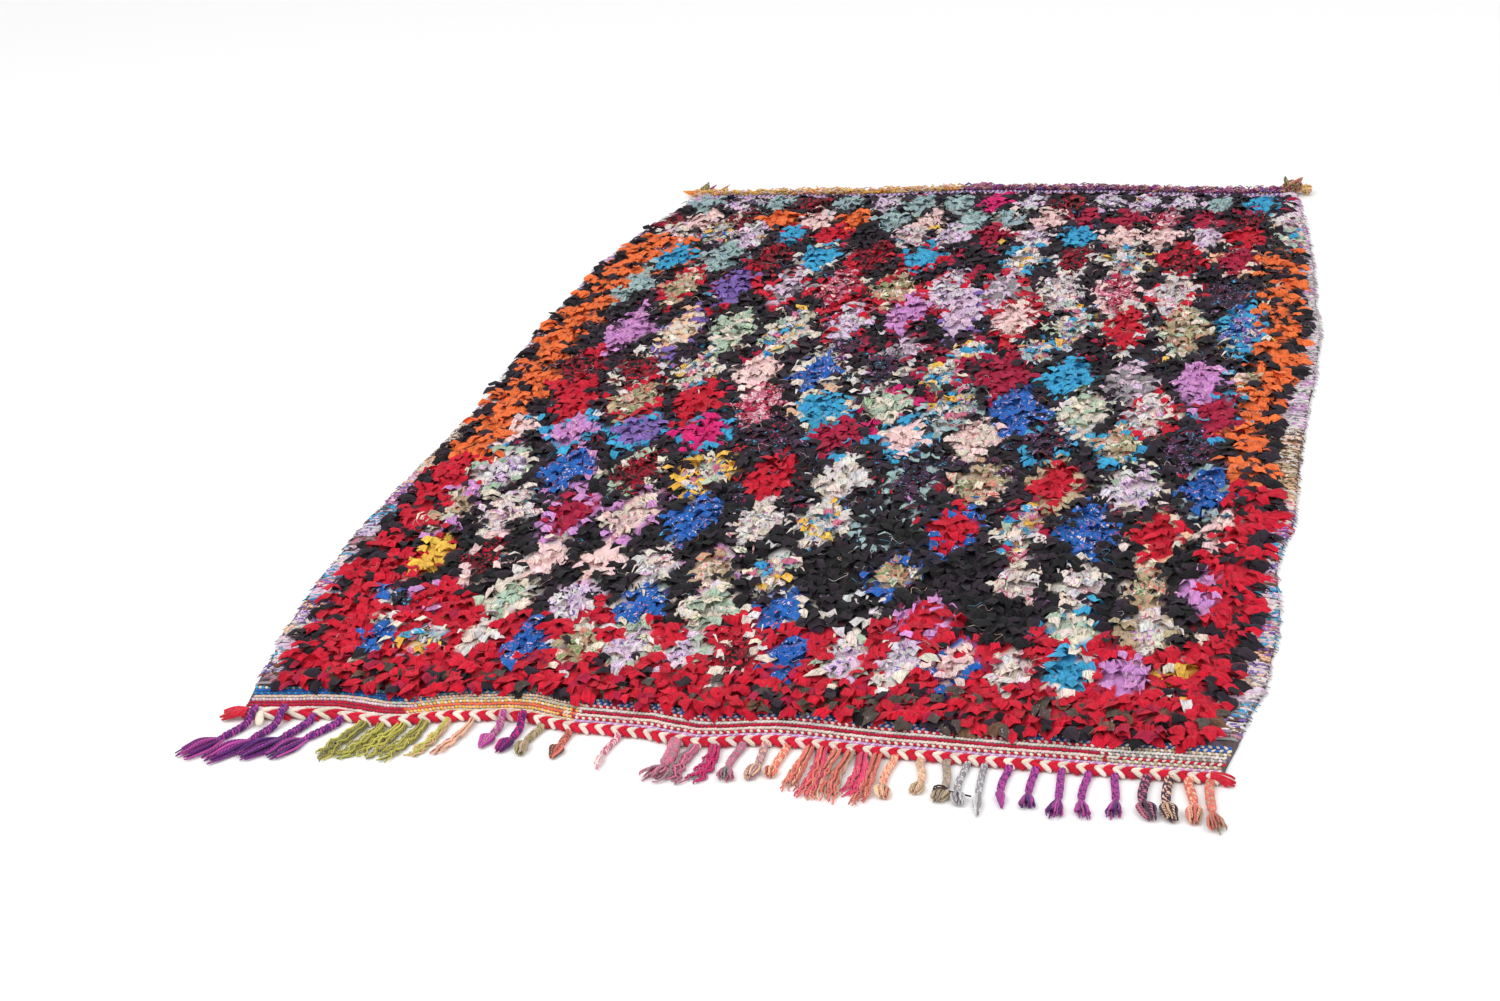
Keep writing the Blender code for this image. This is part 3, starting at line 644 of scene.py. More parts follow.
def broad_flap(index):
    """A broad cut end of rag: it rises from its knot, folds along its middle and flops over, crumpled."""
    chance = random.Random(100 + index)
    columns, rows = 2, 3
    rise, droop = chance.uniform(-0.15, 0.38), chance.uniform(2.0, 2.75)
    length = FLAP_LENGTH * chance.uniform(0.85, 1.12)
    half = FLAP_WIDTH / 2 * chance.uniform(0.78, 1.18)
    crease = chance.uniform(0.0015, 0.0048) * chance.choice((-1, 1, 1))
    slant = chance.uniform(-0.15, 0.15)
    notch = chance.uniform(-0.09, 0.07)
    swing = chance.uniform(-0.18, 0.18)
    widths = (0.60, chance.uniform(0.80, 1.0), chance.uniform(0.90, 1.12), chance.uniform(0.70, 1.08))
    places, grains, at = [], [], {}
    for row in range(rows + 1):
        for column in range(columns + 1):
            across = 2 * column / columns - 1
            share = row / rows * (1 + slant * across * row / rows)
            share += notch * (1 - abs(across)) * (row == rows)
            forward, up, slope = bent(rise, droop, share)
            normal = Vector((0, math.cos(slope), math.sin(slope)))
            fold = crease * (0.5 - abs(across)) + chance.uniform(-0.0022, 0.0022) * (row > 0)
            x = half * across * widths[row] + swing * length * share ** 2 + chance.uniform(-0.0014, 0.0014)
            middle = Vector((x, -length * forward, length * up)) + normal * fold
            rim = row in (0, rows) or column in (0, columns)
            for layer in ((0,) if rim else (1, -1)):
                at[row, column, layer] = len(places)
                places.append(middle + normal * FLAP_SWELL * layer)
                grains.append((half * across, length * share, 0.1 * index))
    faces = []
    for layer in (1, -1):
        for row in range(rows):
            for column in range(columns):
                around = ((row, column), (row, column + 1), (row + 1, column + 1), (row + 1, column))
                face = [at.get((*spot, layer), at.get((*spot, 0))) for spot in around]
                faces.append(face if layer == -1 else face[::-1])
    mesh = creased_mesh(f"broad_flap_{index}", places, faces)
    mark(mesh, "grain", "FLOAT_VECTOR", grains)
    return mesh


def narrow_flap(index):
    """Two narrow strips cut from one rag, each three-sided and pointed."""
    chance = random.Random(300 + index)
    places, grains, faces = [], [], []
    for side in (-1, 1):
        rise, droop = chance.uniform(0.0, 0.5), chance.uniform(1.9, 2.8)
        length = FLAP_LENGTH * chance.uniform(0.80, 1.10)
        half = FLAP_WIDTH * chance.uniform(0.13, 0.20)
        spread = side * chance.uniform(0.06, 0.26)
        turn = chance.uniform(-0.5, 0.5)
        first = len(places)
        for row, scale in enumerate((0.6, 1.0, 0.95, 0.35)):
            forward, up, slope = bent(rise, droop, row / 3)
            middle = Vector((side * 0.004 + spread * length * row / 3, -length * forward, length * up))
            normal = Vector((0, math.cos(slope), math.sin(slope)))
            for corner in range(3):
                angle = turn + corner * math.tau / 3
                reach = half * scale * (1.0 if corner < 2 else 0.55)
                wide = Vector((math.cos(angle) * reach, 0, 0))
                places.append(middle + wide + normal * math.sin(angle) * half * scale * 0.5)
                grains.append((side * 0.01 + wide.x, length * row / 3, 5.0 + 0.1 * index))
        for row in range(3):
            for corner in range(3):
                a, b = first + row * 3 + corner, first + row * 3 + (corner + 1) % 3
                faces.append([a, b, b + 3, a + 3])
        faces += [[first + 2, first + 1, first], [first + 9, first + 10, first + 11]]
    mesh = creased_mesh(f"narrow_flap_{index}", places, faces)
    mark(mesh, "grain", "FLOAT_VECTOR", grains)
    return mesh


def smooth_mesh(name, mesh_data):
    """The mesh of a form that was built point by point, shaded smooth."""
    mesh = bpy.data.meshes.new(name)
    mesh_data.to_mesh(mesh)
    mesh_data.free()
    mesh.shade_smooth()
    return mesh


def creased_mesh(name, places, faces):
    """A mesh shaded smooth but for its cut edges and sharp creases, its faces outwards."""
    mesh_data = bmesh.new()
    corners = [mesh_data.verts.new(place) for place in places]
    for face in faces:
        mesh_data.faces.new([corners[k] for k in face])
    bmesh.ops.recalc_face_normals(mesh_data, faces=mesh_data.faces)
    mesh = smooth_mesh(name, mesh_data)
    mesh.set_sharp_from_angle(angle=math.radians(50))
    return mesh


def bead_mesh():
    """One stitch of weft, as a small rounded bead of unit size."""
    mesh_data = bmesh.new()
    bmesh.ops.create_icosphere(mesh_data, subdivisions=1, radius=0.5)
    return smooth_mesh("weft_stitch", mesh_data)


def lofted(name, profile, sides, turn=0.0):
    """A closed smooth form along X, through rings that are each given as how far along they lie,
    half their width, half their height and their lift. Its two end rings are filled."""
    mesh_data = bmesh.new()
    rings = []
    for along, wide, high, lift in profile:
        ring = []
        for k in range(sides):
            angle = math.tau * (k + turn) / sides
            place = Vector((along, wide * math.cos(angle), lift + high * math.sin(angle)))
            ring.append(mesh_data.verts.new(place))
        rings.append(ring)
    for a, b in zip(rings, rings[1:]):
        for k in range(sides):
            mesh_data.faces.new((a[k - 1], a[k], b[k], b[k - 1]))
    mesh_data.faces.new(rings[0])
    mesh_data.faces.new(rings[-1][::-1])
    bmesh.ops.recalc_face_normals(mesh_data, faces=mesh_data.faces)
    return smooth_mesh(name, mesh_data)


def chain_arm():
    """One arm of a twined stitch, a fat tapered pad of rag one unit long from its tip."""
    profile = ((-0.06, 0.22, 0.20, 0.02), (0.06, 0.40, 0.42, 0.06), (0.30, 0.50, 0.52, 0.06),
               (0.62, 0.50, 0.52, 0.0), (0.88, 0.40, 0.42, -0.10), (1.0, 0.20, 0.22, -0.2))
    return lofted("chain_arm", profile, 8)


def wrap_mesh():
    """One turn of yarn over the selvedge, one unit from the pile to the edge, then down round it."""
    profile = ((-0.10, 0.5, 0.5, 0.0), (0.35, 0.5, 0.5, 0.0), (0.84, 0.5, 0.5, -0.1),
               (0.985, 0.5, 0.34, -0.9), (1.0, 0.5, 0.3, -1.7))
    return lofted("selvedge_wrap", profile, 6, 0.5)


def shader_group(name, inputs, outputs):
    return group_tree("ShaderNodeTree", name, inputs, outputs)


def calculate(tree, operation, first, second):
    """A Math node on two values or sockets."""
    made = put(tree, "ShaderNodeMath", operation=operation)
    for place, value in enumerate((first, second)):
        if isinstance(value, (int, float)):
            made.inputs[place].default_value = value
        else:
            tree.links.new(value, made.inputs[place])
    return made.outputs["Value"]


def stretch(tree, value, low, high, new_low, new_high):
    """A Map Range node whose ends may be values or sockets."""
    made = put(tree, "ShaderNodeMapRange", interpolation_type="SMOOTHSTEP")
    for label, given in (("Value", value), ("From Min", low), ("From Max", high),
                         ("To Min", new_low), ("To Max", new_high)):
        if isinstance(given, (int, float)):
            made.inputs[label].default_value = given
        else:
            tree.links.new(given, made.inputs[label])
    return made.outputs["Result"]


def noise(tree, place, scale, detail=2.0, roughness=0.5):
    made = put(tree, "ShaderNodeTexNoise")
    made.inputs["Scale"].default_value = scale
    made.inputs["Detail"].default_value = detail
    made.inputs["Roughness"].default_value = roughness
    tree.links.new(place, made.inputs["Vector"])
    return made


def blend_colours(tree, factor, first, second, mode="MIX"):
    """A Mix node on two colours, each a socket or a constant."""
    made = put(tree, "ShaderNodeMix", data_type="RGBA", blend_type=mode)
    for label, given in ((0, factor), (6, first), (7, second)):
        if isinstance(given, (int, float, tuple)):
            made.inputs[label].default_value = given
        else:
            tree.links.new(given, made.inputs[label])
    return made.outputs[2]


def printed_cloth_group():
    """A cloth's ground with its printed figures, on as large a share of it as the print covers."""
    tree, given, made = shader_group(
        "printed_cloth",
        (("Ground", "Color", None), ("Figure", "Color", None), ("Share", "Float", 0.0),
         ("Place", "Vector", None)),
        (("Color", "Color"), ("Mask", "Float")))
    blots = noise(tree, given.outputs["Place"], 150.0, 2.0, 0.6)
    limit = calculate(tree, "MULTIPLY", given.outputs["Share"], -0.46)
    low = calculate(tree, "ADD", limit, 0.74)
    high = calculate(tree, "ADD", low, 0.035)
    mask = stretch(tree, blots.outputs["Fac"], low, high, 0.0, 1.0)
    mixed = blend_colours(tree, mask, given.outputs["Ground"], given.outputs["Figure"])
    tree.links.new(mixed, made.inputs["Color"])
    tree.links.new(mask, made.inputs["Mask"])
    return tree


def worn_dye_group():
    """The uneven depth of a worn dye: paler in patches, and dusty with lint in small specks."""
    tree, given, made = shader_group(
        "worn_dye",
        (("Color", "Color", None), ("Place", "Vector", None), ("Patches", "Float", 0.25),
         ("Lint", "Float", 0.05)),
        (("Color", "Color"),))
    patch = noise(tree, given.outputs["Place"], 45.0, 3.0, 0.6)
    spread = calculate(tree, "MULTIPLY", given.outputs["Patches"], -1.0)
    low = calculate(tree, "ADD", spread, 1.0)
    high = calculate(tree, "ADD", given.outputs["Patches"], 1.0)
    depth = stretch(tree, patch.outputs["Fac"], 0.3, 0.7, low, high)
    deeper = put(tree, "ShaderNodeVectorMath", operation="SCALE")
    tree.links.new(given.outputs["Color"], deeper.inputs[0])
    tree.links.new(depth, deeper.inputs["Scale"])
    specks = noise(tree, given.outputs["Place"], 900.0, 1.0, 0.5)
    lint = stretch(tree, specks.outputs["Fac"], 0.55, 0.75, 0.0, given.outputs["Lint"])
    linted = blend_colours(tree, lint, deeper.outputs["Vector"], (0.72, 0.68, 0.64, 1.0))
    tree.links.new(linted, made.inputs["Color"])
    return tree


def knit_relief_group():
    """The relief of a crumpled knit or woven rag: soft creases with fine ribs over them."""
    tree, given, made = shader_group(
        "knit_relief",
        (("Place", "Vector", None), ("Creases", "Float", 0.8), ("Ribs", "Float", 0.2)),
        (("Height", "Float"),))
    folds = noise(tree, given.outputs["Place"], 210.0, 2.0, 0.55)
    ribs = put(tree, "ShaderNodeTexWave", wave_type="BANDS", bands_direction="DIAGONAL")
    ribs.inputs["Scale"].default_value = 420.0
    ribs.inputs["Distortion"].default_value = 3.0
    ribs.inputs["Detail"].default_value = 1.0
    tree.links.new(given.outputs["Place"], ribs.inputs["Vector"])
    creased = calculate(tree, "MULTIPLY", folds.outputs["Fac"], given.outputs["Creases"])
    ribbed = calculate(tree, "MULTIPLY", ribs.outputs["Fac"], given.outputs["Ribs"])
    tree.links.new(calculate(tree, "ADD", creased, ribbed), made.inputs["Height"])
    return tree


def strip_folds_and_shade_group():
    """The folds and frayed strips that run along a cut rag, from its own places across and along: their
    relief, and painted shade in the hollows between them with a faint painted highlight on the raised strips.
    """
    tree, given, made = shader_group(
        "strip_folds_and_painted_shade",
        (("Grain", "Vector", None), ("Amount", "Float", 0.4)),
        (("Depth", "Float"), ("Height", "Float")))
    drawn = put(tree, "ShaderNodeVectorMath", operation="MULTIPLY")
    drawn.inputs[1].default_value = (1.0, 0.16, 1.0)
    tree.links.new(given.outputs["Grain"], drawn.inputs[0])
    strips = noise(tree, drawn.outputs["Vector"], 330.0, 2.0, 0.6)
    # Painted shade and highlight: the colour is darkened down to one less the amount in the strips' hollows
    # and lightened a little on their ridges
    low = calculate(tree, "SUBTRACT", 1.0, given.outputs["Amount"])
    tree.links.new(stretch(tree, strips.outputs["Fac"], 0.38, 0.56, low, 1.10), made.inputs["Depth"])
    raised_strips = calculate(tree, "MULTIPLY", strips.outputs["Fac"], given.outputs["Amount"])
    tree.links.new(raised_strips, made.inputs["Height"])
    return tree


def plied_yarn_group():
    """Two yarns plied together: which of the two shows, and the relief of their turns and fibres."""
    tree, given, made = shader_group(
        "plied_yarn",
        (("Round", "Vector", None), ("Run", "Float", 0.0), ("Turns", "Float", 900.0),
         ("Fuzz", "Float", 0.3), ("Place", "Vector", None)),
        (("Mask", "Float"), ("Height", "Float")))
    parts = put(tree, "ShaderNodeSeparateXYZ")
    tree.links.new(given.outputs["Round"], parts.inputs["Vector"])
    angle = calculate(tree, "ARCTAN2", parts.outputs["Y"], parts.outputs["X"])
    twice = calculate(tree, "MULTIPLY", angle, 2.0)
    turned = calculate(tree, "MULTIPLY", given.outputs["Run"], given.outputs["Turns"])
    phase = calculate(tree, "ADD", twice, turned)
    ply = calculate(tree, "SINE", phase, 0.0)
    fibres = noise(tree, given.outputs["Place"], 700.0, 2.0, 0.6)
    strayed = calculate(tree, "SUBTRACT", fibres.outputs["Fac"], 0.5)
    fuzz = calculate(tree, "MULTIPLY", strayed, given.outputs["Fuzz"])
    fuzzy = calculate(tree, "ADD", ply, calculate(tree, "MULTIPLY", fuzz, 6.0))
    tree.links.new(stretch(tree, fuzzy, -0.15, 0.15, 0.0, 1.0), made.inputs["Mask"])
    rounded = calculate(tree, "ABSOLUTE", ply, 0.0)
    tree.links.new(calculate(tree, "ADD", rounded, fuzz), made.inputs["Height"])
    return tree


def attribute(tree, name, output):
    made = put(tree, "ShaderNodeAttribute", attribute_type="GEOMETRY", attribute_name=name)
    return made.outputs[output]


def grouped(tree, group, **inputs):
    """Places a shader group, with each input a socket or a value."""
    made = put(tree, "ShaderNodeGroup", node_tree=group)
    for label, given in inputs.items():
        if isinstance(given, bpy.types.NodeSocket):
            tree.links.new(given, made.inputs[label])
        else:
            made.inputs[label].default_value = given
    return made.outputs


def fabric(name, roughness, sheen):
    """A new fabric material: its tree, its shader and the place on the object."""
    made = bpy.data.materials.new(name)
    made.use_nodes = True
    tree = made.node_tree
    shader = tree.nodes["Principled BSDF"]
    shader.inputs["Roughness"].default_value = roughness
    shader.inputs["Sheen Weight"].default_value = sheen
    shader.inputs["Sheen Roughness"].default_value = 0.5
    shader.inputs["Specular IOR Level"].default_value = 0.2
    place = put(tree, "ShaderNodeTexCoord").outputs["Object"]
    return made, tree, shader, place


def raised(tree, shader, height, distance, strength):
    bump = put(tree, "ShaderNodeBump")
    bump.inputs["Distance"].default_value = distance
    bump.inputs["Strength"].default_value = strength
    tree.links.new(height, bump.inputs["Height"])
    tree.links.new(bump.outputs["Normal"], shader.inputs["Normal"])


def rag_material(name, creases, ribs, distance, patches, lint, folds=0.0):
    """Cut rags of many cloths: each flap's own ground and print, creased, ribbed and a little worn, with
    painted shade in the hollows of the strips' folds and a faint painted highlight on their ridges.
    """
    made, tree, shader, place = fabric(name, 0.95, 0.04)
    cloth = grouped(tree, PRINTED_CLOTH, Ground=attribute(tree, "dye", "Color"),
                    Figure=attribute(tree, "figure", "Color"), Share=attribute(tree, "share", "Fac"),
                    Place=place)
    worn = grouped(tree, WORN_DYE, Color=cloth["Color"], Place=place, Patches=patches, Lint=lint)
    strips = grouped(tree, STRIP_FOLDS_AND_SHADE, Grain=attribute(tree, "grain", "Vector"), Amount=folds)
    # Painted shade and highlight: the colour is multiplied by the strips' fold shading, darker in their
    # hollows and a little lighter on their ridges
    painted_fold_colour = put(tree, "ShaderNodeVectorMath", operation="SCALE")
    tree.links.new(worn["Color"], painted_fold_colour.inputs[0])
    tree.links.new(strips["Depth"], painted_fold_colour.inputs["Scale"])
    tree.links.new(painted_fold_colour.outputs["Vector"], shader.inputs["Base Color"])
    relief = grouped(tree, KNIT_RELIEF, Place=place, Creases=creases, Ribs=ribs)
    raised(tree, shader, calculate(tree, "ADD", relief["Height"], strips["Height"]), distance, 0.6)
    return made


def yarn_material(name, turns, fuzz, distance):
    """Plied yarn of two colours, each turn raised and furry."""
    made, tree, shader, place = fabric(name, 0.92, 0.15)
    ply = grouped(tree, PLIED_YARN, Round=attribute(tree, "round", "Vector"),
                  Run=attribute(tree, "run", "Fac"), Turns=turns, Fuzz=fuzz, Place=place)
    marled = blend_colours(tree, ply["Mask"], attribute(tree, "dye", "Color"),
                           attribute(tree, "figure", "Color"))
    worn = grouped(tree, WORN_DYE, Color=marled, Place=place, Patches=0.16, Lint=0.08)
    tree.links.new(worn["Color"], shader.inputs["Base Color"])
    raised(tree, shader, ply["Height"], distance, 0.7)
    return made


def ground_material():
    """The woven ground: dark wool warp and weft, with the backs of the knots as short dashes."""
    made, tree, shader, place = fabric("woven_ground", 0.92, 0.10)
    weft = put(tree, "ShaderNodeTexWave", wave_type="BANDS", bands_direction="Y")
    weft.inputs["Scale"].default_value = 110.0
    weft.inputs["Distortion"].default_value = 1.5
    warp = put(tree, "ShaderNodeTexWave", wave_type="BANDS", bands_direction="X")
    warp.inputs["Scale"].default_value = 85.0
    warp.inputs["Distortion"].default_value = 1.0
    tree.links.new(place, weft.inputs["Vector"])
    tree.links.new(place, warp.inputs["Vector"])
    knots = noise(tree, place, 42.0, 1.0, 0.5)
    mask = stretch(tree, knots.outputs["Fac"], 0.52, 0.60, 0.0, 1.0)
    wool = blend_colours(tree, weft.outputs["Fac"], (0.045, 0.030, 0.034, 1.0), (0.12, 0.075, 0.070, 1.0))
    backs = blend_colours(tree, mask, wool, blend_colours(
        tree, knots.outputs["Fac"], (0.20, 0.010, 0.030, 1.0), (0.10, 0.13, 0.24, 1.0)))
    worn = grouped(tree, WORN_DYE, Color=backs, Place=place, Patches=0.2, Lint=0.08)
    tree.links.new(worn["Color"], shader.inputs["Base Color"])
    height = calculate(tree, "ADD", weft.outputs["Fac"], warp.outputs["Fac"])
    raised(tree, shader, height, 0.0012, 0.7)
    return made


PRINTED_CLOTH = printed_cloth_group()
WORN_DYE = worn_dye_group()
KNIT_RELIEF = knit_relief_group()
STRIP_FOLDS_AND_SHADE = strip_folds_and_shade_group()
PLIED_YARN = plied_yarn_group()
LAYING = laying_tree()
SPINNING = spinning_tree()
# folds sets both the strips' relief and their painted shade and highlight
RAGS = rag_material("cut_rags", creases=0.9, ribs=0.12, distance=0.0030, patches=0.14, lint=0.02,
                    folds=0.34)
WEFT = rag_material("weft_stitches", creases=0.5, ribs=0.5, distance=0.0012, patches=0.12, lint=0.06)
TWINED = rag_material("twined_rag", creases=0.9, ribs=0.2, distance=0.0025, patches=0.12, lint=0.04)
YARN = yarn_material("plied_warp_yarn", turns=1150.0, fuzz=0.60, distance=0.0010)
TWINED_YARN = yarn_material("rag_strands", turns=300.0, fuzz=0.45, distance=0.0012)
CORD_YARN = yarn_material("edge_cord_yarn", turns=900.0, fuzz=0.45, distance=0.0012)
GROUND = ground_material()


def lozenge_chart():
    """The cloth and the outline of each lozenge: the ones that stand out, and the rest drawn by chance."""
    chart = {}
    for number, row in enumerate(LOZENGES):
        chance = random.Random(40 + number)
        for place in range(row.count):
            fill = row.fills[place % 2] if number == 0 else chance.choice(row.fills)
            chart[number, place] = (fill, chance.choice(row.edges))
    for number, accents in enumerate(ACCENTS):
        for place, cloths in accents.items():
            fill, _, edge = cloths.partition(" in ")
            chart[number, place] = (fill, edge)
    return chart


CHART = lozenge_chart()


def zigzag(value):
    """0 to 1 and back to 0 as the value grows by one."""
    return 1 - abs(2 * (value % 1.0) - 1)


def border_cloth(x, y, left_rim, right_rim):
    """The cloth of the zigzag borders along both sides, or None in the field."""
    for inward, border in ((x - left_rim, LEFT_BORDER), (right_rim - x, RIGHT_BORDER)):
        if y > border.far or inward > border.middle + 0.050:
            continue
        bend = border.middle + BORDER_SWING * (zigzag(y / BORDER_STEP) - 0.5)
        if abs(inward - bend) < border.half:
            return "orange" if y > ORANGE_NEAR else "red"
        if inward < border.middle:
            return "dark"
    return None


def row_height(row, x):
    """Where a row's lozenges have their middle at a distance across, for rows that sag at the sides."""
    left, right = row.lifts
    return row.y + float(np.interp(x, (-0.22, 0.0, 0.42), (left, 0.0, right)))


def lozenge_cloth(x, y):
    """The cloth of the lozenge or outline at a place, or None between them."""
    best, found = EDGE_SHARE, None
    for number, row in enumerate(LOZENGES):
        if abs(y - row.y) > row.tall + 0.15:
            continue
        place = round((x - row.first) / row.pitch)
        middle = row.first + row.pitch * place
        reach = abs(x - middle) / (row.pitch / 2) + abs(y - row_height(row, middle)) / row.tall
        share = reach / row.size
        if share < best and (number, place) in CHART:
            fill, edge = CHART[number, place]
            best = share
            found = fill if share < (FILL_SHARE if edge else PLAIN_SHARE) else (edge or None)
    return found


def pick(chance, *choices):
    """One of several names, each given with its weight."""
    return chance.choices([name for name, weight in choices], [weight for name, weight in choices])[0]


def field_cloth(x, y, chance):
    """The cloth of the ground between the lozenges, by the zone of the rug."""
    if y < SPECKLED_END:
        return pick(chance, ("red", 12), ("dark", 4), ("taupe", 4), ("crimson", 2))
    if y < RED_END - 0.05 * (zigzag(x / 0.24) > 0.5):
        return pick(chance, ("red", 18), ("crimson", 2), ("dark", 1))
    if y < BLACK_END:
        return pick(chance, ("night", 16), ("dark", 5), ("plum_tweed", 1))
    if y < PLUM_END:
        return pick(chance, ("plum_tweed", 5), ("dark", 7), ("night", 3), ("garnet_tweed", 1))
    return pick(chance, ("dark", 18), ("night", 3), ("plum_tweed", 2), ("crimson", 0.4), ("confetti", 0.4))


def knot_cloth(x, y, left_rim, right_rim, chance):
    """The cloth that one knot is tied from."""
    x += chance.gauss(0, CHART_WANDER)
    y += chance.gauss(0, CHART_WANDER) - FLAP_REACH
    found = border_cloth(x, y, left_rim, right_rim) if y > BORDER_NEAR else None
    darks = RIGHT_DARKS if found == "orange" and x > 0 else BORDER_DARKS
    if found in ("red", "orange") and chance.random() < darks:
        found = "dark"
    if found is None:
        found = lozenge_cloth(x, y)
    return CLOTHS.get(found) or plain_cloth(found) or CLOTHS[field_cloth(x, y, chance)]


def plain_cloth(name):
    """A plain rag of one dye, for outlines named by their dye."""
    return Cloth((name,), (name,), 0.0, 0.10) if name in DYES else None


def knot_rows():
    """Each row of knots: its number and the last one's, the rims beside it and its knots' places."""
    first, last = NEAR_BAND + 0.007, LENGTH - FAR_BAND - 0.008
    count = round((last - first) / ROW_PITCH)
    for row in range(count + 1):
        along = (first + (last - first) * row / count) / LENGTH
        y = NEAR_Y + LENGTH * along
        left_rim = float(left_x(y) + selvedge("left", y)) + 0.004
        right_rim = float(right_x(y) - selvedge("right", y)) - 0.004
        columns = round((right_rim - left_rim) / KNOT_PITCH)
        stagger = 0.25 if row % 2 else -0.25
        knots = []
        for column in range(columns + 1):
            share = min(max((column + stagger) / columns, 0.0), 1.0)
            x = left_rim + (right_rim - left_rim) * share
            knots.append((x, float(near_y(x) * (1 - along) + far_y(x) * along)))
        yield row, count, left_rim, right_rim, knots


def flap_row(chance, x, y, cloth, outward, grade):
    """One cut end of a knot: where it starts, the way it flops, its cut and its colours."""
    narrow = chance.random() < cloth.narrow
    cut = BROAD_FLAPS + chance.randrange(NARROW_FLAPS) if narrow else chance.randrange(BROAD_FLAPS)
    yaw = chance.gauss(0.0, 0.36) + outward
    tilt = chance.gauss(0.0, 0.17) + 0.25 * abs(outward)
    width = chance.uniform(0.82, 1.18)
    length = chance.uniform(0.84, 1.06) * grade
    place = (x + chance.uniform(-0.0050, 0.0050), y + chance.uniform(-0.010, 0.010), PILE_ROOT)
    return Laid(place, (tilt, chance.gauss(0.0, 0.16), yaw), (width, length, length), cut,
                colour(chance.choice(cloth.grounds), chance), colour(chance.choice(cloth.figures), chance),
                cloth.share * chance.uniform(0.6, 1.3))


def make_pile():
    """The pile: on every knot one or two cut ends of rag that lean to the near end and over the rims."""
    flaps = cutting_set("rag_flap", [broad_flap(k) for k in range(BROAD_FLAPS)]
                        + [narrow_flap(k) for k in range(NARROW_FLAPS)])
    chance = random.Random(7)
    pieces = [[] for _ in range(PILE_PIECES)]
    for row, count, left_rim, right_rim, knots in knot_rows():
        into = pieces[min(row * PILE_PIECES // (count + 1), PILE_PIECES - 1)]
        for x, y in knots:
            cloth = knot_cloth(x, y, left_rim, right_rim, chance)
            outward = max(1 - (right_rim - x) / LEAN_WIDTH, 0.0) - max(1 - (x - left_rim) / LEAN_WIDTH, 0.0)
            if x < 0 and STEADY_NEAR < y < STEADY_FAR:
                outward *= 0.45
            grade = (0.60, 0.80, 1.0)[min(count - row, 2)]
            rim = abs(outward) > 0.5 or row < 2
            second, size = (0.62, 1.0) if y < LONG_END else (0.86, 0.95)
            for _ in range(2 if rim or chance.random() < second else 1):
                into.append(flap_row(chance, x, y, cloth, outward, grade * size))
    made = []
    for number, rows in enumerate(pieces):
        piece = lay(f"rag_pile_{number + 1}", rows, flaps, RAGS, unrest=0.08,
                    smallest=0.92, largest=1.08, seed=number)
        settle(piece)
        made.append(riding(piece, "rag_pile", "rug_cloth"))
    put_away(flaps)
    return made


def make_pile_roots():
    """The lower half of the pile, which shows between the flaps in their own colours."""
    columns, rows = 108, 104
    chance = random.Random(8)
    first, last = NEAR_BAND + 0.004, LENGTH - FAR_BAND - 0.010
    tops, dyes, figures, shares = [], [], [], []
    for row in range(rows + 1):
        along = (first + (last - first) * row / rows) / LENGTH
        y = NEAR_Y + LENGTH * along
        left_rim = float(left_x(y) + selvedge("left", y)) + 0.002
        right_rim = float(right_x(y) - selvedge("right", y)) - 0.002
        for column in range(columns + 1):
            x = left_rim + (right_rim - left_rim) * column / columns
            rim = row in (0, rows) or column in (0, columns)
            height = 0.0052 if rim else chance.uniform(0.0120, 0.0170)
            tops.append((x, float(near_y(x) * (1 - along) + far_y(x) * along), height))
            cloth = knot_cloth(x, y + FLAP_REACH / 2, left_rim, right_rim, chance)
            dyes.append(colour(chance.choice(cloth.grounds), chance))
            figures.append(colour(chance.choice(cloth.figures), chance))
            shares.append(cloth.share)
    mesh = creased_mesh("pile_roots", *slab(tops, columns, rows, 0.0046))
    spare = len(mesh.vertices) - len(dyes)
    mark(mesh, "dye", "FLOAT_COLOR", dyes + dyes[:spare])
    mark(mesh, "figure", "FLOAT_COLOR", figures + figures[:spare])
    mark(mesh, "share", "FLOAT", shares + shares[:spare])
    made = in_scene("pile_roots", mesh)
    made.data.materials.append(RAGS)
    return riding(made, "rag_pile", "rug_cloth")


def slab(tops, columns, rows, underside):
    """The points and faces of a closed slab whose upper face is a grid of points over a flat underside."""
    faces = []
    for row in range(rows):
        for column in range(columns):
            a = row * (columns + 1) + column
            faces.append([a, a + 1, a + columns + 2, a + columns + 1])
    rim = list(range(columns)) + [row * (columns + 1) + columns for row in range(rows)]
    rim += [rows * (columns + 1) + column for column in range(columns, 0, -1)]
    rim += [row * (columns + 1) for row in range(rows, 0, -1)]
    first, count = len(tops), len(rim)
    places = list(tops) + [(tops[k][0], tops[k][1], underside) for k in rim]
    for k in range(count):
        faces.append([first + k, first + (k + 1) % count, rim[(k + 1) % count], rim[k]])
    faces.append([first + k for k in range(count)][::-1])
    return places, faces


def settle(piece, on_cloth_height=0.0064, on_chain_height=0.0150, beside_height=0.0010):
    """Presses what hangs too low up onto the cloth, onto the chain, or onto the floor beside them."""
    mesh = piece.data
    co = np.empty(len(mesh.vertices) * 3, np.float32)
    mesh.vertices.foreach_get("co", co)
    co = co.reshape(-1, 3)
    x, y, z = co[:, 0].astype(float), co[:, 1].astype(float), co[:, 2]
    inside = (x > left_x(y)) & (x < right_x(y)) & (y > near_y(x)) & (y < far_y(x))
    chain = (y <= near_y(x)) & (y > near_y(x) - STRIP_WIDTH - GAP)
    base = np.where(inside, on_cloth_height, np.where(chain, on_chain_height, beside_height))
    low = np.clip(z / base, -1.0, 1.0)
    co[:, 2] = np.where(z < base, base * (0.90 + 0.10 * low), z)
    mesh.vertices.foreach_set("co", co.ravel())
    mesh.update()


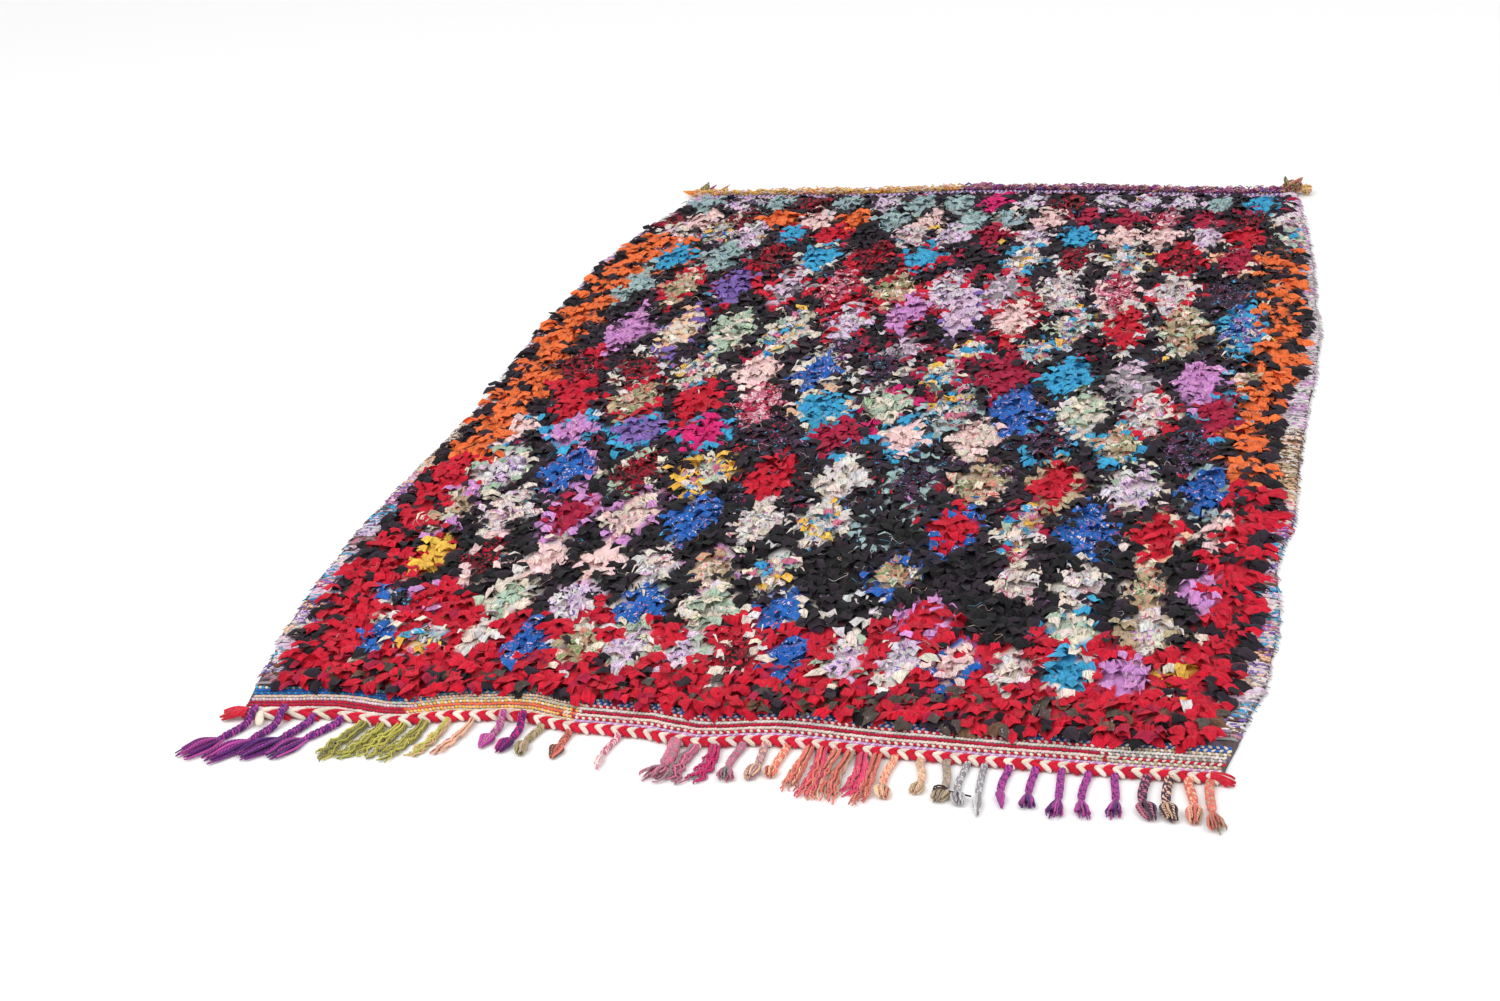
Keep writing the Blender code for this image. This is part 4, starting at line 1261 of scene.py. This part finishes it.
def make_ground():
    """The woven ground of the whole rug, one closed sheet on the floor."""
    columns, rows = 44, 84
    across, along = np.meshgrid(np.linspace(0, 1, columns + 1), np.linspace(0, 1, rows + 1))
    x, y = on_cloth(across, along)
    tops = [(float(a), float(b), GROUND_HEIGHT) for a, b in zip(x.ravel(), y.ravel())]
    places, faces = slab(tops, columns, rows, 0.0)
    made = in_scene("woven_ground", creased_mesh("woven_ground", places, faces))
    made.data.materials.append(GROUND)
    return riding(made, "rag_pile", "rug_cloth")


def band_dyes(row, x):
    """The two dyes that alternate along a row of the near band, counted from the chain."""
    rows = [("pale_lilac", "lilac"), ("lilac", "pale_lilac"), ("red", "cream"), ("cream", "pale_pink"),
            ("red", "crimson"), ("cream", "white"), ("pale_pink", "red"), ("pale_lilac", "cobalt"),
            ("cobalt", "white")]
    if x < -0.47:
        rows[0:4] = [("cream", "violet"), ("cream", "pale_pink"), ("crimson", "red"), ("red", "crimson")]
        rows[4:9] = [("cream", "pale_lilac"), ("white", "peach"), ("cobalt", "deep_sky"),
                     ("cobalt", "cobalt"), ("cream", "sky")]
    elif x < -0.22:
        rows[0:3] = [("cream", "mint"), ("peach", "cream"), ("peach", "yellow")]
        rows[3:9] = [("coral", "orange"), ("cream", "yellow"), ("peach", "mint"), ("cream", "peach"),
                     ("cream", "sky"), ("cobalt", "sky")]
    elif x > 0.55:
        rows[1:5] = [("lilac", "cream"), ("cream", "beige"), ("red", "cream"), ("cream", "grey")]
        rows[6:9] = [("cream", "beige"), ("cream", "cobalt"), ("cobalt", "cream")]
    return rows[row]


def stitch_rows(end, offsets, dyes, chance):
    """The slanted stitches of weft rows that run from side to side, at distances from an end of the cloth."""
    rows = []
    for number, offset in enumerate(offsets):
        lean = WEFT_SLANT if number % 2 else -WEFT_SLANT
        x = -0.80
        while x < 0.80:
            y = float(near_y(x) + offset if end == "near" else far_y(x) - offset)
            if left_x(y) + 0.003 < x < right_x(y) - 0.003:
                pair = dyes(number, x + chance.uniform(-0.03, 0.03))
                dye = colour(pair[len(rows) % 2], chance)
                long, wide, high = WEFT_SIZE
                size = (long * chance.uniform(0.9, 1.15), wide, high * chance.uniform(0.85, 1.15))
                place = (x, y + chance.uniform(-0.0006, 0.0006), 0.0049)
                rows.append(Laid(place, (0, 0, lean), size, 0, dye, colour(pair[1], chance), 0.12))
            x += WEFT_STEP
    return rows


def far_band_dyes(row, x):
    return (("violet", "white"), ("violet", "pale_lilac"), ("lilac", "pale_pink"))[row]


def make_bands():
    """The bead-like weft rows of the flat-woven bands at both ends."""
    stitches = cutting_set("weft_stitch", [bead_mesh()])
    chance = random.Random(21)
    rows = stitch_rows("near", [0.0046 + 0.0088 * k for k in range(9)], band_dyes, chance)
    rows += stitch_rows("far", (0.0048, 0.0134, 0.0220), far_band_dyes, chance)
    made = lay("band_stitches", rows, stitches, WEFT, unrest=0.10, smallest=0.94, largest=1.06, seed=3)
    put_away(stitches)
    return riding(made, "rag_pile", "rug_cloth")


def selvedge_dyes(y):
    """The three yarns that are worked in together at a place along the selvedges."""
    names = ("peach", "pale_lilac", "sky", "cream", "grey", "violet", "rose", "white", "brown", "pale_lilac")
    if y > GREY_WRAPS:
        names = ("pale_lilac", "white", "grey", "lilac", "white")
    elif y > SANDY_WRAPS:
        names = ("cream", "beige", "brown", "white", "peach")
    return random.Random(60 + int((y + 2.0) / WRAP_STRETCH)).sample(names, 3)


def make_selvedges():
    """The yarn wrapped over the cloth's two long edges, and the shorter turns worked in over it."""
    turns = cutting_set("selvedge_wrap", [wrap_mesh(), bead_mesh()])
    chance = random.Random(22)
    rows = []
    for side, yaw in (("left", math.pi), ("right", 0.0)):
        y = NEAR_Y + NEAR_BAND - 0.002
        while y < 1.226:
            width = float(selvedge(side, y))
            edge = float(left_x(y) if side == "left" else right_x(y))
            inward = 1 if side == "left" else -1
            size = (width * chance.uniform(0.96, 1.04), 0.0072, 0.0031 * chance.uniform(0.80, 1.20))
            sway = 0.14 * math.sin(y * 34.0) + chance.gauss(0, 0.06)
            dye = colour(chance.choice(selvedge_dyes(y)), chance)
            figure = colour(chance.choice(selvedge_dyes(y)), chance)
            place = (edge + inward * width, y, 0.0066)
            rows.append(Laid(place, (0, 0, yaw + sway), size, 0, dye, figure, 0.6))
            for _ in range(3):
                over = edge + inward * (0.004 + (width - 0.004) * chance.random())
                long = chance.uniform(0.008, 0.017)
                dye = colour(chance.choice(selvedge_dyes(y)), chance)
                figure = colour(chance.choice(selvedge_dyes(y)), chance)
                lean = (0, 0, chance.gauss(0, 0.45))
                rows.append(Laid((over, y + chance.uniform(-0.003, 0.003), 0.0082), lean,
                                 (long, 0.0048, 0.0040), 1, dye, figure, 0.7))
            y += WRAP_STEP
    made = lay("selvedge_wraps", rows, turns, WEFT, seed=4)
    put_away(turns)
    settle(made, 0.0001, 0.0001, 0.0001)
    return riding(made, "rag_pile", "rug_cloth")


def chain_y(x):
    return float(near_y(x)) - GAP - STRIP_WIDTH / 2


def make_chain():
    """Red and cream rag twined over the warp ends in V-shaped stitches, with one cream scrap on it."""
    arms = cutting_set("chain_arm", [chain_arm()])
    chance = random.Random(23)
    rows, x, number = [], CHAIN_LEFT, 0
    while x < CHAIN_RIGHT:
        loose = min(max((-0.44 - x) / 0.20, 0.0), 1.0)
        pitch = STITCH_PITCH * (1 + 0.80 * loose)
        slope = math.atan2(chain_y(x + 0.01) - chain_y(x - 0.01), 0.02)
        name = ("red", "cream")[number % 2]
        for side in (1, -1):
            length = 1.50 * pitch * chance.uniform(0.94, 1.06)
            size = (length, 0.0070 * chance.uniform(0.92, 1.08), 0.0076)
            drop = 0.0008 if side > 0 else 0.0056
            lean = (0.0, drop / length, slope + side * (0.46 - 0.16 * loose) + chance.gauss(0, 0.04))
            place = (x, chain_y(x) - side * 0.0006 + 0.0006, 0.0106 + 0.0003 * side)
            rows.append(Laid(place, lean, size, 0, colour(name, chance), colour("coral", chance), 0.06))
        x += pitch
        number += 1
    scrap = colour("cream", chance)
    rows.append(Laid((-0.686, chain_y(-0.686) - 0.004, 0.0140), (0, 0.22, -1.15), (0.031, 0.014, 0.0050), 0,
                     scrap, scrap, 0.0))
    made = lay("twined_chain", rows, arms, TWINED, unrest=0.05, smallest=0.97, largest=1.03, seed=5)
    put_away(arms)
    riding(made, "twined_rag", "end_chain")
    return [made, make_chain_core(chance)]


def make_chain_core(chance):
    """The rags inside the chain, which come out at both ends as short tails. The core between the arms is
    dyed a deeper red as painted shade inside the chain.
    """
    strands = []
    # Painted shade: the core takes crimson, a deeper red than the tails, for the rag that lies inside the
    # chain
    red, cream = colour("crimson", chance), colour("cream", chance)
    line = np.linspace(CHAIN_LEFT, CHAIN_RIGHT, 160)
    core = [(x, chain_y(x), 0.0058) for x in line]
    strands.append(Strand(core, 0.0050, red, red))
    for side, end, count in ((-1, CHAIN_LEFT, 6), (1, CHAIN_RIGHT, 4)):
        reach = 0.036 if side < 0 else 0.024
        for k in range(count):
            spread = (k - (count - 1) / 2) * 0.0032
            length = reach * chance.uniform(0.75, 1.0)
            share = np.linspace(0, 1, 9)
            x = end - side * 0.010 + side * (length + 0.010) * share
            y = chain_y(end) + spread * (0.6 + share) + 0.0012 * np.sin(6 * share + k)
            z = 0.0086 * (1 - share ** 2) + 0.0036 + 0.0010 * (k % 2)
            thick = 0.0042 * (1 - 0.6 * share ** 3)
            dye = cream if k == 2 else colour("red", chance)
            strands.append(Strand(np.stack([x, y, z], 1), thick, dye, dye))
    made = spin("chain_core", strands, 7, TWINED_YARN)
    return riding(made, "twined_rag", "end_chain")


Tassel = namedtuple("Tassel", "root reach sway width over end yarns bow")


def tassel_list():
    """Every tassel, from the groups along the fringe, drawn as in the solids."""
    chance = random.Random(TASSEL_SEED)
    bows = random.Random(12)
    made = []
    for group in FRINGE:
        pitch = (group.last - group.first) / max(group.count - 1, 1)
        for k in range(group.count):
            reach = group.reach * chance.uniform(0.88, 1.08)
            sway = group.sway + chance.uniform(-0.004, 0.004)
            bow = bows.uniform(-0.0075, 0.0075)
            made.append(Tassel(group.first + pitch * k, reach, sway, group.width, k < group.over,
                               group.ends[k], group.yarns[k], bow))
    return made


def tassel_line(tassel, share):
    """The middle line of a tassel in plan at shares of its length, and the way across it."""
    share = np.asarray(share, float)
    root_y = float(near_y(tassel.root)) - GAP - STRIP_WIDTH
    past = np.clip(share, 0, None)
    x = tassel.root + tassel.sway * past ** 1.25 + tassel.bow * np.sin(math.pi * past)
    y = root_y - TASSEL_ROOT - (tassel.reach - TASSEL_ROOT) * share
    heading = Vector((tassel.sway, -tassel.reach, 0)).normalized()
    return x, y, np.array((-heading.y, heading.x))


def root_lift(tassel, share):
    """How much higher a tassel lies near its root, where it comes out from under the chain or over it."""
    share = np.asarray(share, float)
    if tassel.over:
        return 0.0125 * np.clip((0.16 - share) / 0.20, 0, 1) ** 1.5
    return 0.0020 * np.clip(-share / 0.15, 0, 1)


def plait_strands(tassel, chance):
    """Three strands of yarn plaited over and under one another, from the chain to the tie."""
    plaited = ENDINGS[tassel.end].plaited
    start = -0.20 if tassel.over else -0.13
    share = np.linspace(start, plaited, 40)
    x, y, across = tassel_line(tassel, share)
    thick = tassel.width * 0.255
    turns = tassel.reach / 0.024
    grow = np.clip((plaited - share) / 0.08, 0.55, 1.0)
    made = []
    for k in range(3):
        phase = math.tau * (share * turns + k / 3)
        sideways = tassel.width * 0.27 * np.sin(phase) * grow
        up = tassel.width * 0.15 * np.sin(2 * phase) * grow
        z = thick + tassel.width * 0.15 + up + 0.0006 + root_lift(tassel, share)
        points = np.stack([x + across[0] * sideways, y + across[1] * sideways, z], 1)
        main, marl = tassel.yarns
        dye, figure = colour(marl if k == 2 else main, chance), colour(marl if k == 0 else main, chance)
        made.append(Strand(points, thick * (0.7 + 0.3 * grow), dye, figure))
    return made


def end_strands(tassel, chance, count=18):
    """The loose yarn ends past a plait's tie, which swell into a bud, flare, taper or bunch up."""
    ending = ENDINGS[tassel.end]
    made = []
    for k in range(count):
        angle = math.tau * k / count + chance.uniform(-0.2, 0.2)
        rim = chance.uniform(0.70, 1.0) if k > 1 else 0.15
        end = 1.0 + ending.ragged * chance.uniform(-0.8, 0.45)
        share = np.linspace(ending.plaited - 0.04, ending.plaited + (1 - ending.plaited) * end, 9)
        x, y, across = tassel_line(tassel, share)
        past = np.clip((share - ending.plaited) / (1 - ending.plaited), 0, 1)
        rise = np.sin(math.pi / 2 * np.clip(past / ending.peak, 0, 1))
        fall = 1 - (1 - ending.tip) * np.clip((past - ending.peak) / (1.001 - ending.peak), 0, 1) ** 1.5
        bulge = tassel.width * (0.22 + (ending.swell - 0.22) * rise) * fall * chance.uniform(0.85, 1.15)
        sideways = math.cos(angle) * rim * bulge + 0.0010 * np.sin(11 * past + k) * past
        up = math.sin(angle) * rim * bulge * 0.42
        thick = 0.0022 * (1 - 0.50 * past ** 2)
        middle = 0.0040 + 0.30 * tassel.width * rise * fall
        z = np.maximum(middle + up, thick + 0.0002)
        points = np.stack([x + across[0] * sideways, y + across[1] * sideways, z], 1)
        main, marl = tassel.yarns if chance.random() < 0.58 else tassel.yarns[::-1]
        dye = colour(main, chance, 0.28)
        made.append(Strand(points, thick, dye, colour(marl, chance) if k % 3 == 0 else dye))
    return made


def loose_strands(tassel, chance):
    """A bundle of plied yarn that was never plaited, hanging straight or kinked into a tangle."""
    tangled = tassel.end == "tangle"
    made = []
    for k in range(12):
        lane = 2 * chance.random() - 1 if tangled else 2 * (k + 0.5) / 12 - 1
        end = chance.uniform(0.78, 1.06)
        share = np.linspace(-0.10, end, 26)
        x, y, across = tassel_line(tassel, share)
        wild = 0.0034 if tangled else 0.0017
        wave, start = chance.uniform(14, 24), chance.uniform(0, 6)
        grown_wild = wild * np.clip(share * 2.5, 0, 1)
        kink = grown_wild * (np.sin(share * wave + start) + 0.5 * np.sin(share * wave * 2.3 + 2 * start))
        hook = 0.010 * chance.uniform(-1, 1) * np.clip((share - 0.75) / 0.25, 0, 1.2) ** 2
        fan = tassel.width / 2 * lane * (0.85 + 0.55 * np.clip(share, 0, 1)) + kink + hook * tangled
        ahead = grown_wild * 0.8 * np.cos(share * wave + start)
        thick = (0.0019 if tangled else 0.0018) * (1 - 0.35 * np.clip(share, 0, 1) ** 3)
        layer = (k * 7 % 6) / 5
        lift = 0.0058 * layer * (1 - 0.45 * np.clip(share, 0, 1)) + root_lift(tassel, share)
        z = thick + 0.0003 + lift + 0.0009 * np.abs(np.sin(share * 13 + k))
        points = np.stack([x + across[0] * fan, y + across[1] * fan + ahead, z], 1)
        main, marl = tassel.yarns if chance.random() < 0.75 else tassel.yarns[::-1]
        dye = colour(main, chance, 0.28)
        made.append(Strand(points, thick, dye, colour(marl, chance) if k % 3 == 0 else dye))
    return made


def tied_thread(first, last):
    """A brown thread that is wound round one tassel's head and caught in the next."""
    y = float(near_y(first)) - GAP - STRIP_WIDTH - 0.076
    points = []
    for step in range(25):
        angle = 2.4 * math.tau * step / 24
        turned = (0.0105 * math.cos(angle), 0.004 * math.sin(angle / 2), 0.0070 * math.sin(angle))
        points.append((first + turned[0], y + turned[1], 0.0085 + turned[2]))
    for step in range(1, 9):
        share = step / 8
        points.append((first + 0.0105 + (last - first) * share, y - 0.006 * share, 0.0090 - 0.002 * share))
    dark = (0.060, 0.024, 0.024, 1.0)
    return Strand(points, 0.0013, dark, dark)


def make_fringe():
    """The tassels: plaits with many kinds of ends, and unplaited bundles."""
    chance = random.Random(24)
    strands = []
    for tassel in tassel_list():
        if tassel.end in ENDINGS:
            strands += plait_strands(tassel, chance) + end_strands(tassel, chance)
        else:
            strands += loose_strands(tassel, chance)
    strands.append(tied_thread(0.354, 0.386))
    made = spin("fringe_yarns", strands, 5, YARN)
    return riding(made, "warp_yarn", "fringe")


def cord_yarns(x):
    """The yarns of the far cord at a distance across."""
    return CORD_LEFT if x < CORD_CHANGE else CORD_RIGHT


def make_far_cord():
    """Three strands of yarn twisted into the cord along the far edge."""
    box_low, box_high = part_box("far_cord")
    chance = random.Random(25)
    radius = (box_high.z - box_low.z) / 2
    count = 380
    x = np.linspace(box_low.x, box_high.x, count)
    middle = far_y(x) + GAP - 0.0008 + radius
    strands = []
    for k in range(3):
        phase = math.tau * ((x - x[0]) / CORD_TWIST + k / 3)
        thick = radius * 0.56 * (1 + 0.10 * np.sin(x * 41 + k))
        y = middle + radius * 0.48 * np.sin(phase)
        z = radius * 1.12 + radius * 0.48 * np.cos(phase)
        dyes, figures, dye, figure = [], [], None, None
        for step in range(count):
            if step % 9 == 0:
                group = cord_yarns(x[step])
                dye, figure = colour(chance.choice(group), chance), colour(chance.choice(group), chance)
            dyes.append(dye)
            figures.append(figure)
        strands.append(Strand(np.stack([x, y, z], 1), thick, dyes, figures))
    strands += ravelled_ends(box_low.x, box_high.x, radius, chance)
    made = spin("far_cord_strands", strands, 4, CORD_YARN)
    return riding(made, "edge_cord", "far_cord")


def ravelled_ends(first, last, radius, chance):
    """Short ends of yarn that stick out of the far cord and lie over the band beside it."""
    made = []
    for _ in range(RAVELLED_ENDS):
        x = chance.uniform(first, last)
        group = cord_yarns(x)
        heading = chance.choice((0.0, math.pi)) + chance.gauss(0, 0.65)
        long = chance.uniform(0.008, 0.019)
        y = float(far_y(x)) + chance.uniform(-0.010, 0.013)
        high = radius * chance.uniform(1.3, 2.5)
        points = []
        for step in range(4):
            share = step / 3
            rise = high + 0.0055 * math.sin(math.pi * share * 0.7) - 0.003 * share
            points.append((x + math.cos(heading) * long * share, y + math.sin(heading) * long * share, rise))
        dye = colour(chance.choice(group), chance, 0.2)
        made.append(Strand(points, np.linspace(0.0023, 0.0009, 4), dye, colour(chance.choice(group), chance)))
    return made


Lump = namedtuple("Lump", "place size names turns")


def wound_lump(low, high, lump, chance):
    """Yarn wound round and round into a lump, at a place in a box and of a size given as shares of it."""
    size = high - low
    middle = Vector([low[k] + size[k] * lump.place[k] for k in range(3)])
    half = Vector([size[k] / 2 * lump.size[k] for k in range(3)])
    thick = 0.0023
    made = []
    for k in range(lump.turns):
        axis = Vector((chance.gauss(0, 1), chance.gauss(0, 1), chance.gauss(0, 0.7))).normalized()
        first = axis.orthogonal().normalized()
        second = axis.cross(first)
        depth = chance.uniform(0.55, 0.90)
        start, sweep = chance.uniform(0, math.tau), chance.uniform(2.2, 4.6)
        points = []
        for step in range(14):
            angle = start + sweep * step / 13
            way = first * math.cos(angle) + second * math.sin(angle) + axis * 0.25 * math.sin(2 * angle + k)
            place = Vector([middle[j] + way[j] * half[j] * depth for j in range(3)])
            place.z = max(place.z, thick + 0.0002)
            points.append(tuple(place))
        made.append(Strand(points, thick, colour(chance.choice(lump.names), chance, 0.2),
                           colour(chance.choice(lump.names), chance, 0.2)))
    return made


Bunch = namedtuple("Bunch", "root tip names count thick")


def frayed_bunch(low, high, bunch, chance):
    """A bunch of yarn ends that stands out of a knot and closes to a point, its ends in shares of a box."""
    size = high - low
    root = Vector([low[k] + size[k] * bunch.root[k] for k in range(3)])
    tip = Vector([low[k] + size[k] * bunch.tip[k] for k in range(3)])
    made = []
    for k in range(bunch.count):
        side = Vector((chance.gauss(0, 1), chance.gauss(0, 1), chance.gauss(0, 0.6))).normalized()
        side *= bunch.thick * 2.8
        reach = chance.uniform(0.75, 1.08)
        points = []
        for step in range(8):
            share = step / 7
            place = root.lerp(tip, share * reach) + side * math.sin(math.pi * (0.25 + 0.75 * share))
            points.append((place.x, place.y, max(place.z, bunch.thick + 0.0002)))
        made.append(Strand(points, bunch.thick * (1 - 0.45 * np.linspace(0, 1, 8)),
                           colour(chance.choice(bunch.names), chance, 0.2),
                           colour(chance.choice(bunch.names), chance, 0.2)))
    return made


def make_knot(node, lumps, bunches, chance):
    """Warp yarn wound and knotted at a far corner, with its frayed ends."""
    low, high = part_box(node)
    strands = []
    for lump in lumps:
        strands += wound_lump(low, high, lump, chance)
    for bunch in bunches:
        strands += frayed_bunch(low, high, bunch, chance)
    made = spin(node + "_yarns", strands, 6, CORD_YARN)
    return riding(made, "edge_cord", node)


def make_threads():
    """Loose threads that lie on the pile, and frayed ends that stick out along the selvedges."""
    chance = random.Random(26)
    strands = []
    for _ in range(LOOSE_THREADS):
        x, y = chance.uniform(-0.70, 0.70), chance.uniform(-1.10, 1.15)
        heading, curl = chance.uniform(0, math.tau), chance.uniform(-2.6, 2.6)
        length = chance.uniform(0.020, 0.060)
        points = []
        for step in range(8):
            share = step / 7
            z = 0.0225 + 0.0035 * math.sin(share * 7 + curl)
            points.append((x, y, z))
            angle = heading + curl * share + 0.9 * math.sin(share * 9)
            x += math.cos(angle) * length / 7
            y += math.sin(angle) * length / 7
        name = chance.choice(("cream", "white", "pale_pink", "sky", "peach", "grey", "coral"))
        dye = colour(name, chance)
        strands.append(Strand(points, 0.00045, dye, dye))
    for _ in range(FRAYED_ENDS):
        side, outward = chance.choice((("left", -1), ("right", 1)))
        y = chance.uniform(-1.17, 1.22)
        edge = float(left_x(y) if side == "left" else right_x(y))
        long, drift = chance.uniform(0.004, 0.010), chance.gauss(0, 0.003)
        points = []
        for step in range(4):
            share = step / 3
            out = outward * (long * share - 0.002)
            points.append((edge + out, y + drift * share, 0.0075 - 0.0045 * share))
        dye = colour(chance.choice(selvedge_dyes(y)), chance)
        strands.append(Strand(points, np.linspace(0.0016, 0.0007, 4), dye, dye))
    made = spin("loose_threads", strands, 3, YARN)
    return riding(made, "rag_pile")


def make_stage():
    """A plain pale floor under soft, even studio light."""
    bpy.ops.mesh.primitive_plane_add(size=80.0, location=(0, 0, -0.0003))
    floor = bpy.context.object
    floor.name = "floor"
    paint = bpy.data.materials.new("floor_paint")
    paint.use_nodes = True
    shader = paint.node_tree.nodes["Principled BSDF"]
    shader.inputs["Base Color"].default_value = (0.93, 0.93, 0.93, 1.0)
    shader.inputs["Roughness"].default_value = 0.9
    shader.inputs["Specular IOR Level"].default_value = 0.1
    floor.data.materials.append(paint)
    world = bpy.data.worlds.new("studio")
    world.use_nodes = True
    sky = world.node_tree.nodes["Background"]
    sky.inputs["Color"].default_value = (1.0, 1.0, 1.0, 1.0)
    sky.inputs["Strength"].default_value = 0.95
    bpy.context.scene.world = world
    for name, place, size, power in (("key", (-2.2, -3.4, 4.4), 3.5, 110.0),
                                     ("fill", (3.4, -3.0, 3.8), 3.0, 50.0)):
        lamp = bpy.data.lights.new(name, "AREA")
        lamp.energy = power
        lamp.size = size
        light = in_scene(name, lamp)
        light.location = place
        light.rotation_euler = (-Vector(place)).to_track_quat("-Z", "Y").to_euler()
    bpy.context.scene.view_settings.view_transform = "Standard"


def make_camera():
    """The camera at the place and angle that the rug's own corners give."""
    lens = bpy.data.cameras.new("camera")
    lens.lens = CAMERA_LENS
    lens.sensor_width = 36.0
    camera = in_scene("camera", lens)
    turned = Matrix.Rotation(CAMERA_YAW, 4, "Z") @ Matrix.Rotation(math.pi / 2 - CAMERA_PITCH, 4, "X")
    rolled = turned @ Matrix.Rotation(-CAMERA_ROLL, 4, "Z")
    camera.matrix_world = Matrix.Translation(CAMERA_PLACE) @ rolled
    bpy.context.scene.camera = camera


make_camera()
make_stage()
ground = make_ground()
pile = [*make_pile(), make_pile_roots()]
bands = make_bands()
wraps = make_selvedges()
chain = make_chain()
fringe = make_fringe()
cord = make_far_cord()
knots = [
    make_knot("corner_knot_left",
              [Lump((0.55, 0.45, 0.36), (0.8, 0.8, 0.7), ("yellow", "peach", "orchid"), 9)],
              [Bunch((0.6, 0.4, 0.4), (-0.42, 0.35, 0.72), ("yellow", "orange", "yellow", "peach"),
                     10, 0.0026),
               Bunch((1.2, 0.7, 0.3), (1.75, 0.95, 1.50), EARTHY, 16, 0.0034),
               Bunch((1.6, 0.9, 0.3), (2.4, 1.0, 1.15), ("olive", "coral", "orchid"), 7, 0.0022),
               Bunch((2.8, 1.1, 0.4), (3.6, 1.2, 1.10), ("orange", "brown", "peach"), 6, 0.0018)],
              random.Random(27)),
    make_knot("corner_knot_right",
              [Lump((0.00, 0.45, 0.52), (1.10, 0.9, 1.00), (*EARTHY, *WARM), 36),
               Lump((0.66, 0.35, 0.40), (0.56, 0.6, 0.78), ("peach", "yellow", "beige"), 14)],
              [Bunch((-0.3, 0.40, 0.4), (-1.5, 0.30, 0.36), ("brown", "olive", "purple"), 10, 0.0020),
               Bunch((0.1, 0.5, 0.7), (0.45, 0.6, 1.10), WARM, 8, 0.0022),
               Bunch((-0.2, 0.5, 0.6), (-0.35, 0.7, 1.10), EARTHY, 8, 0.0024)],
              random.Random(28)),
]
threads = make_threads()
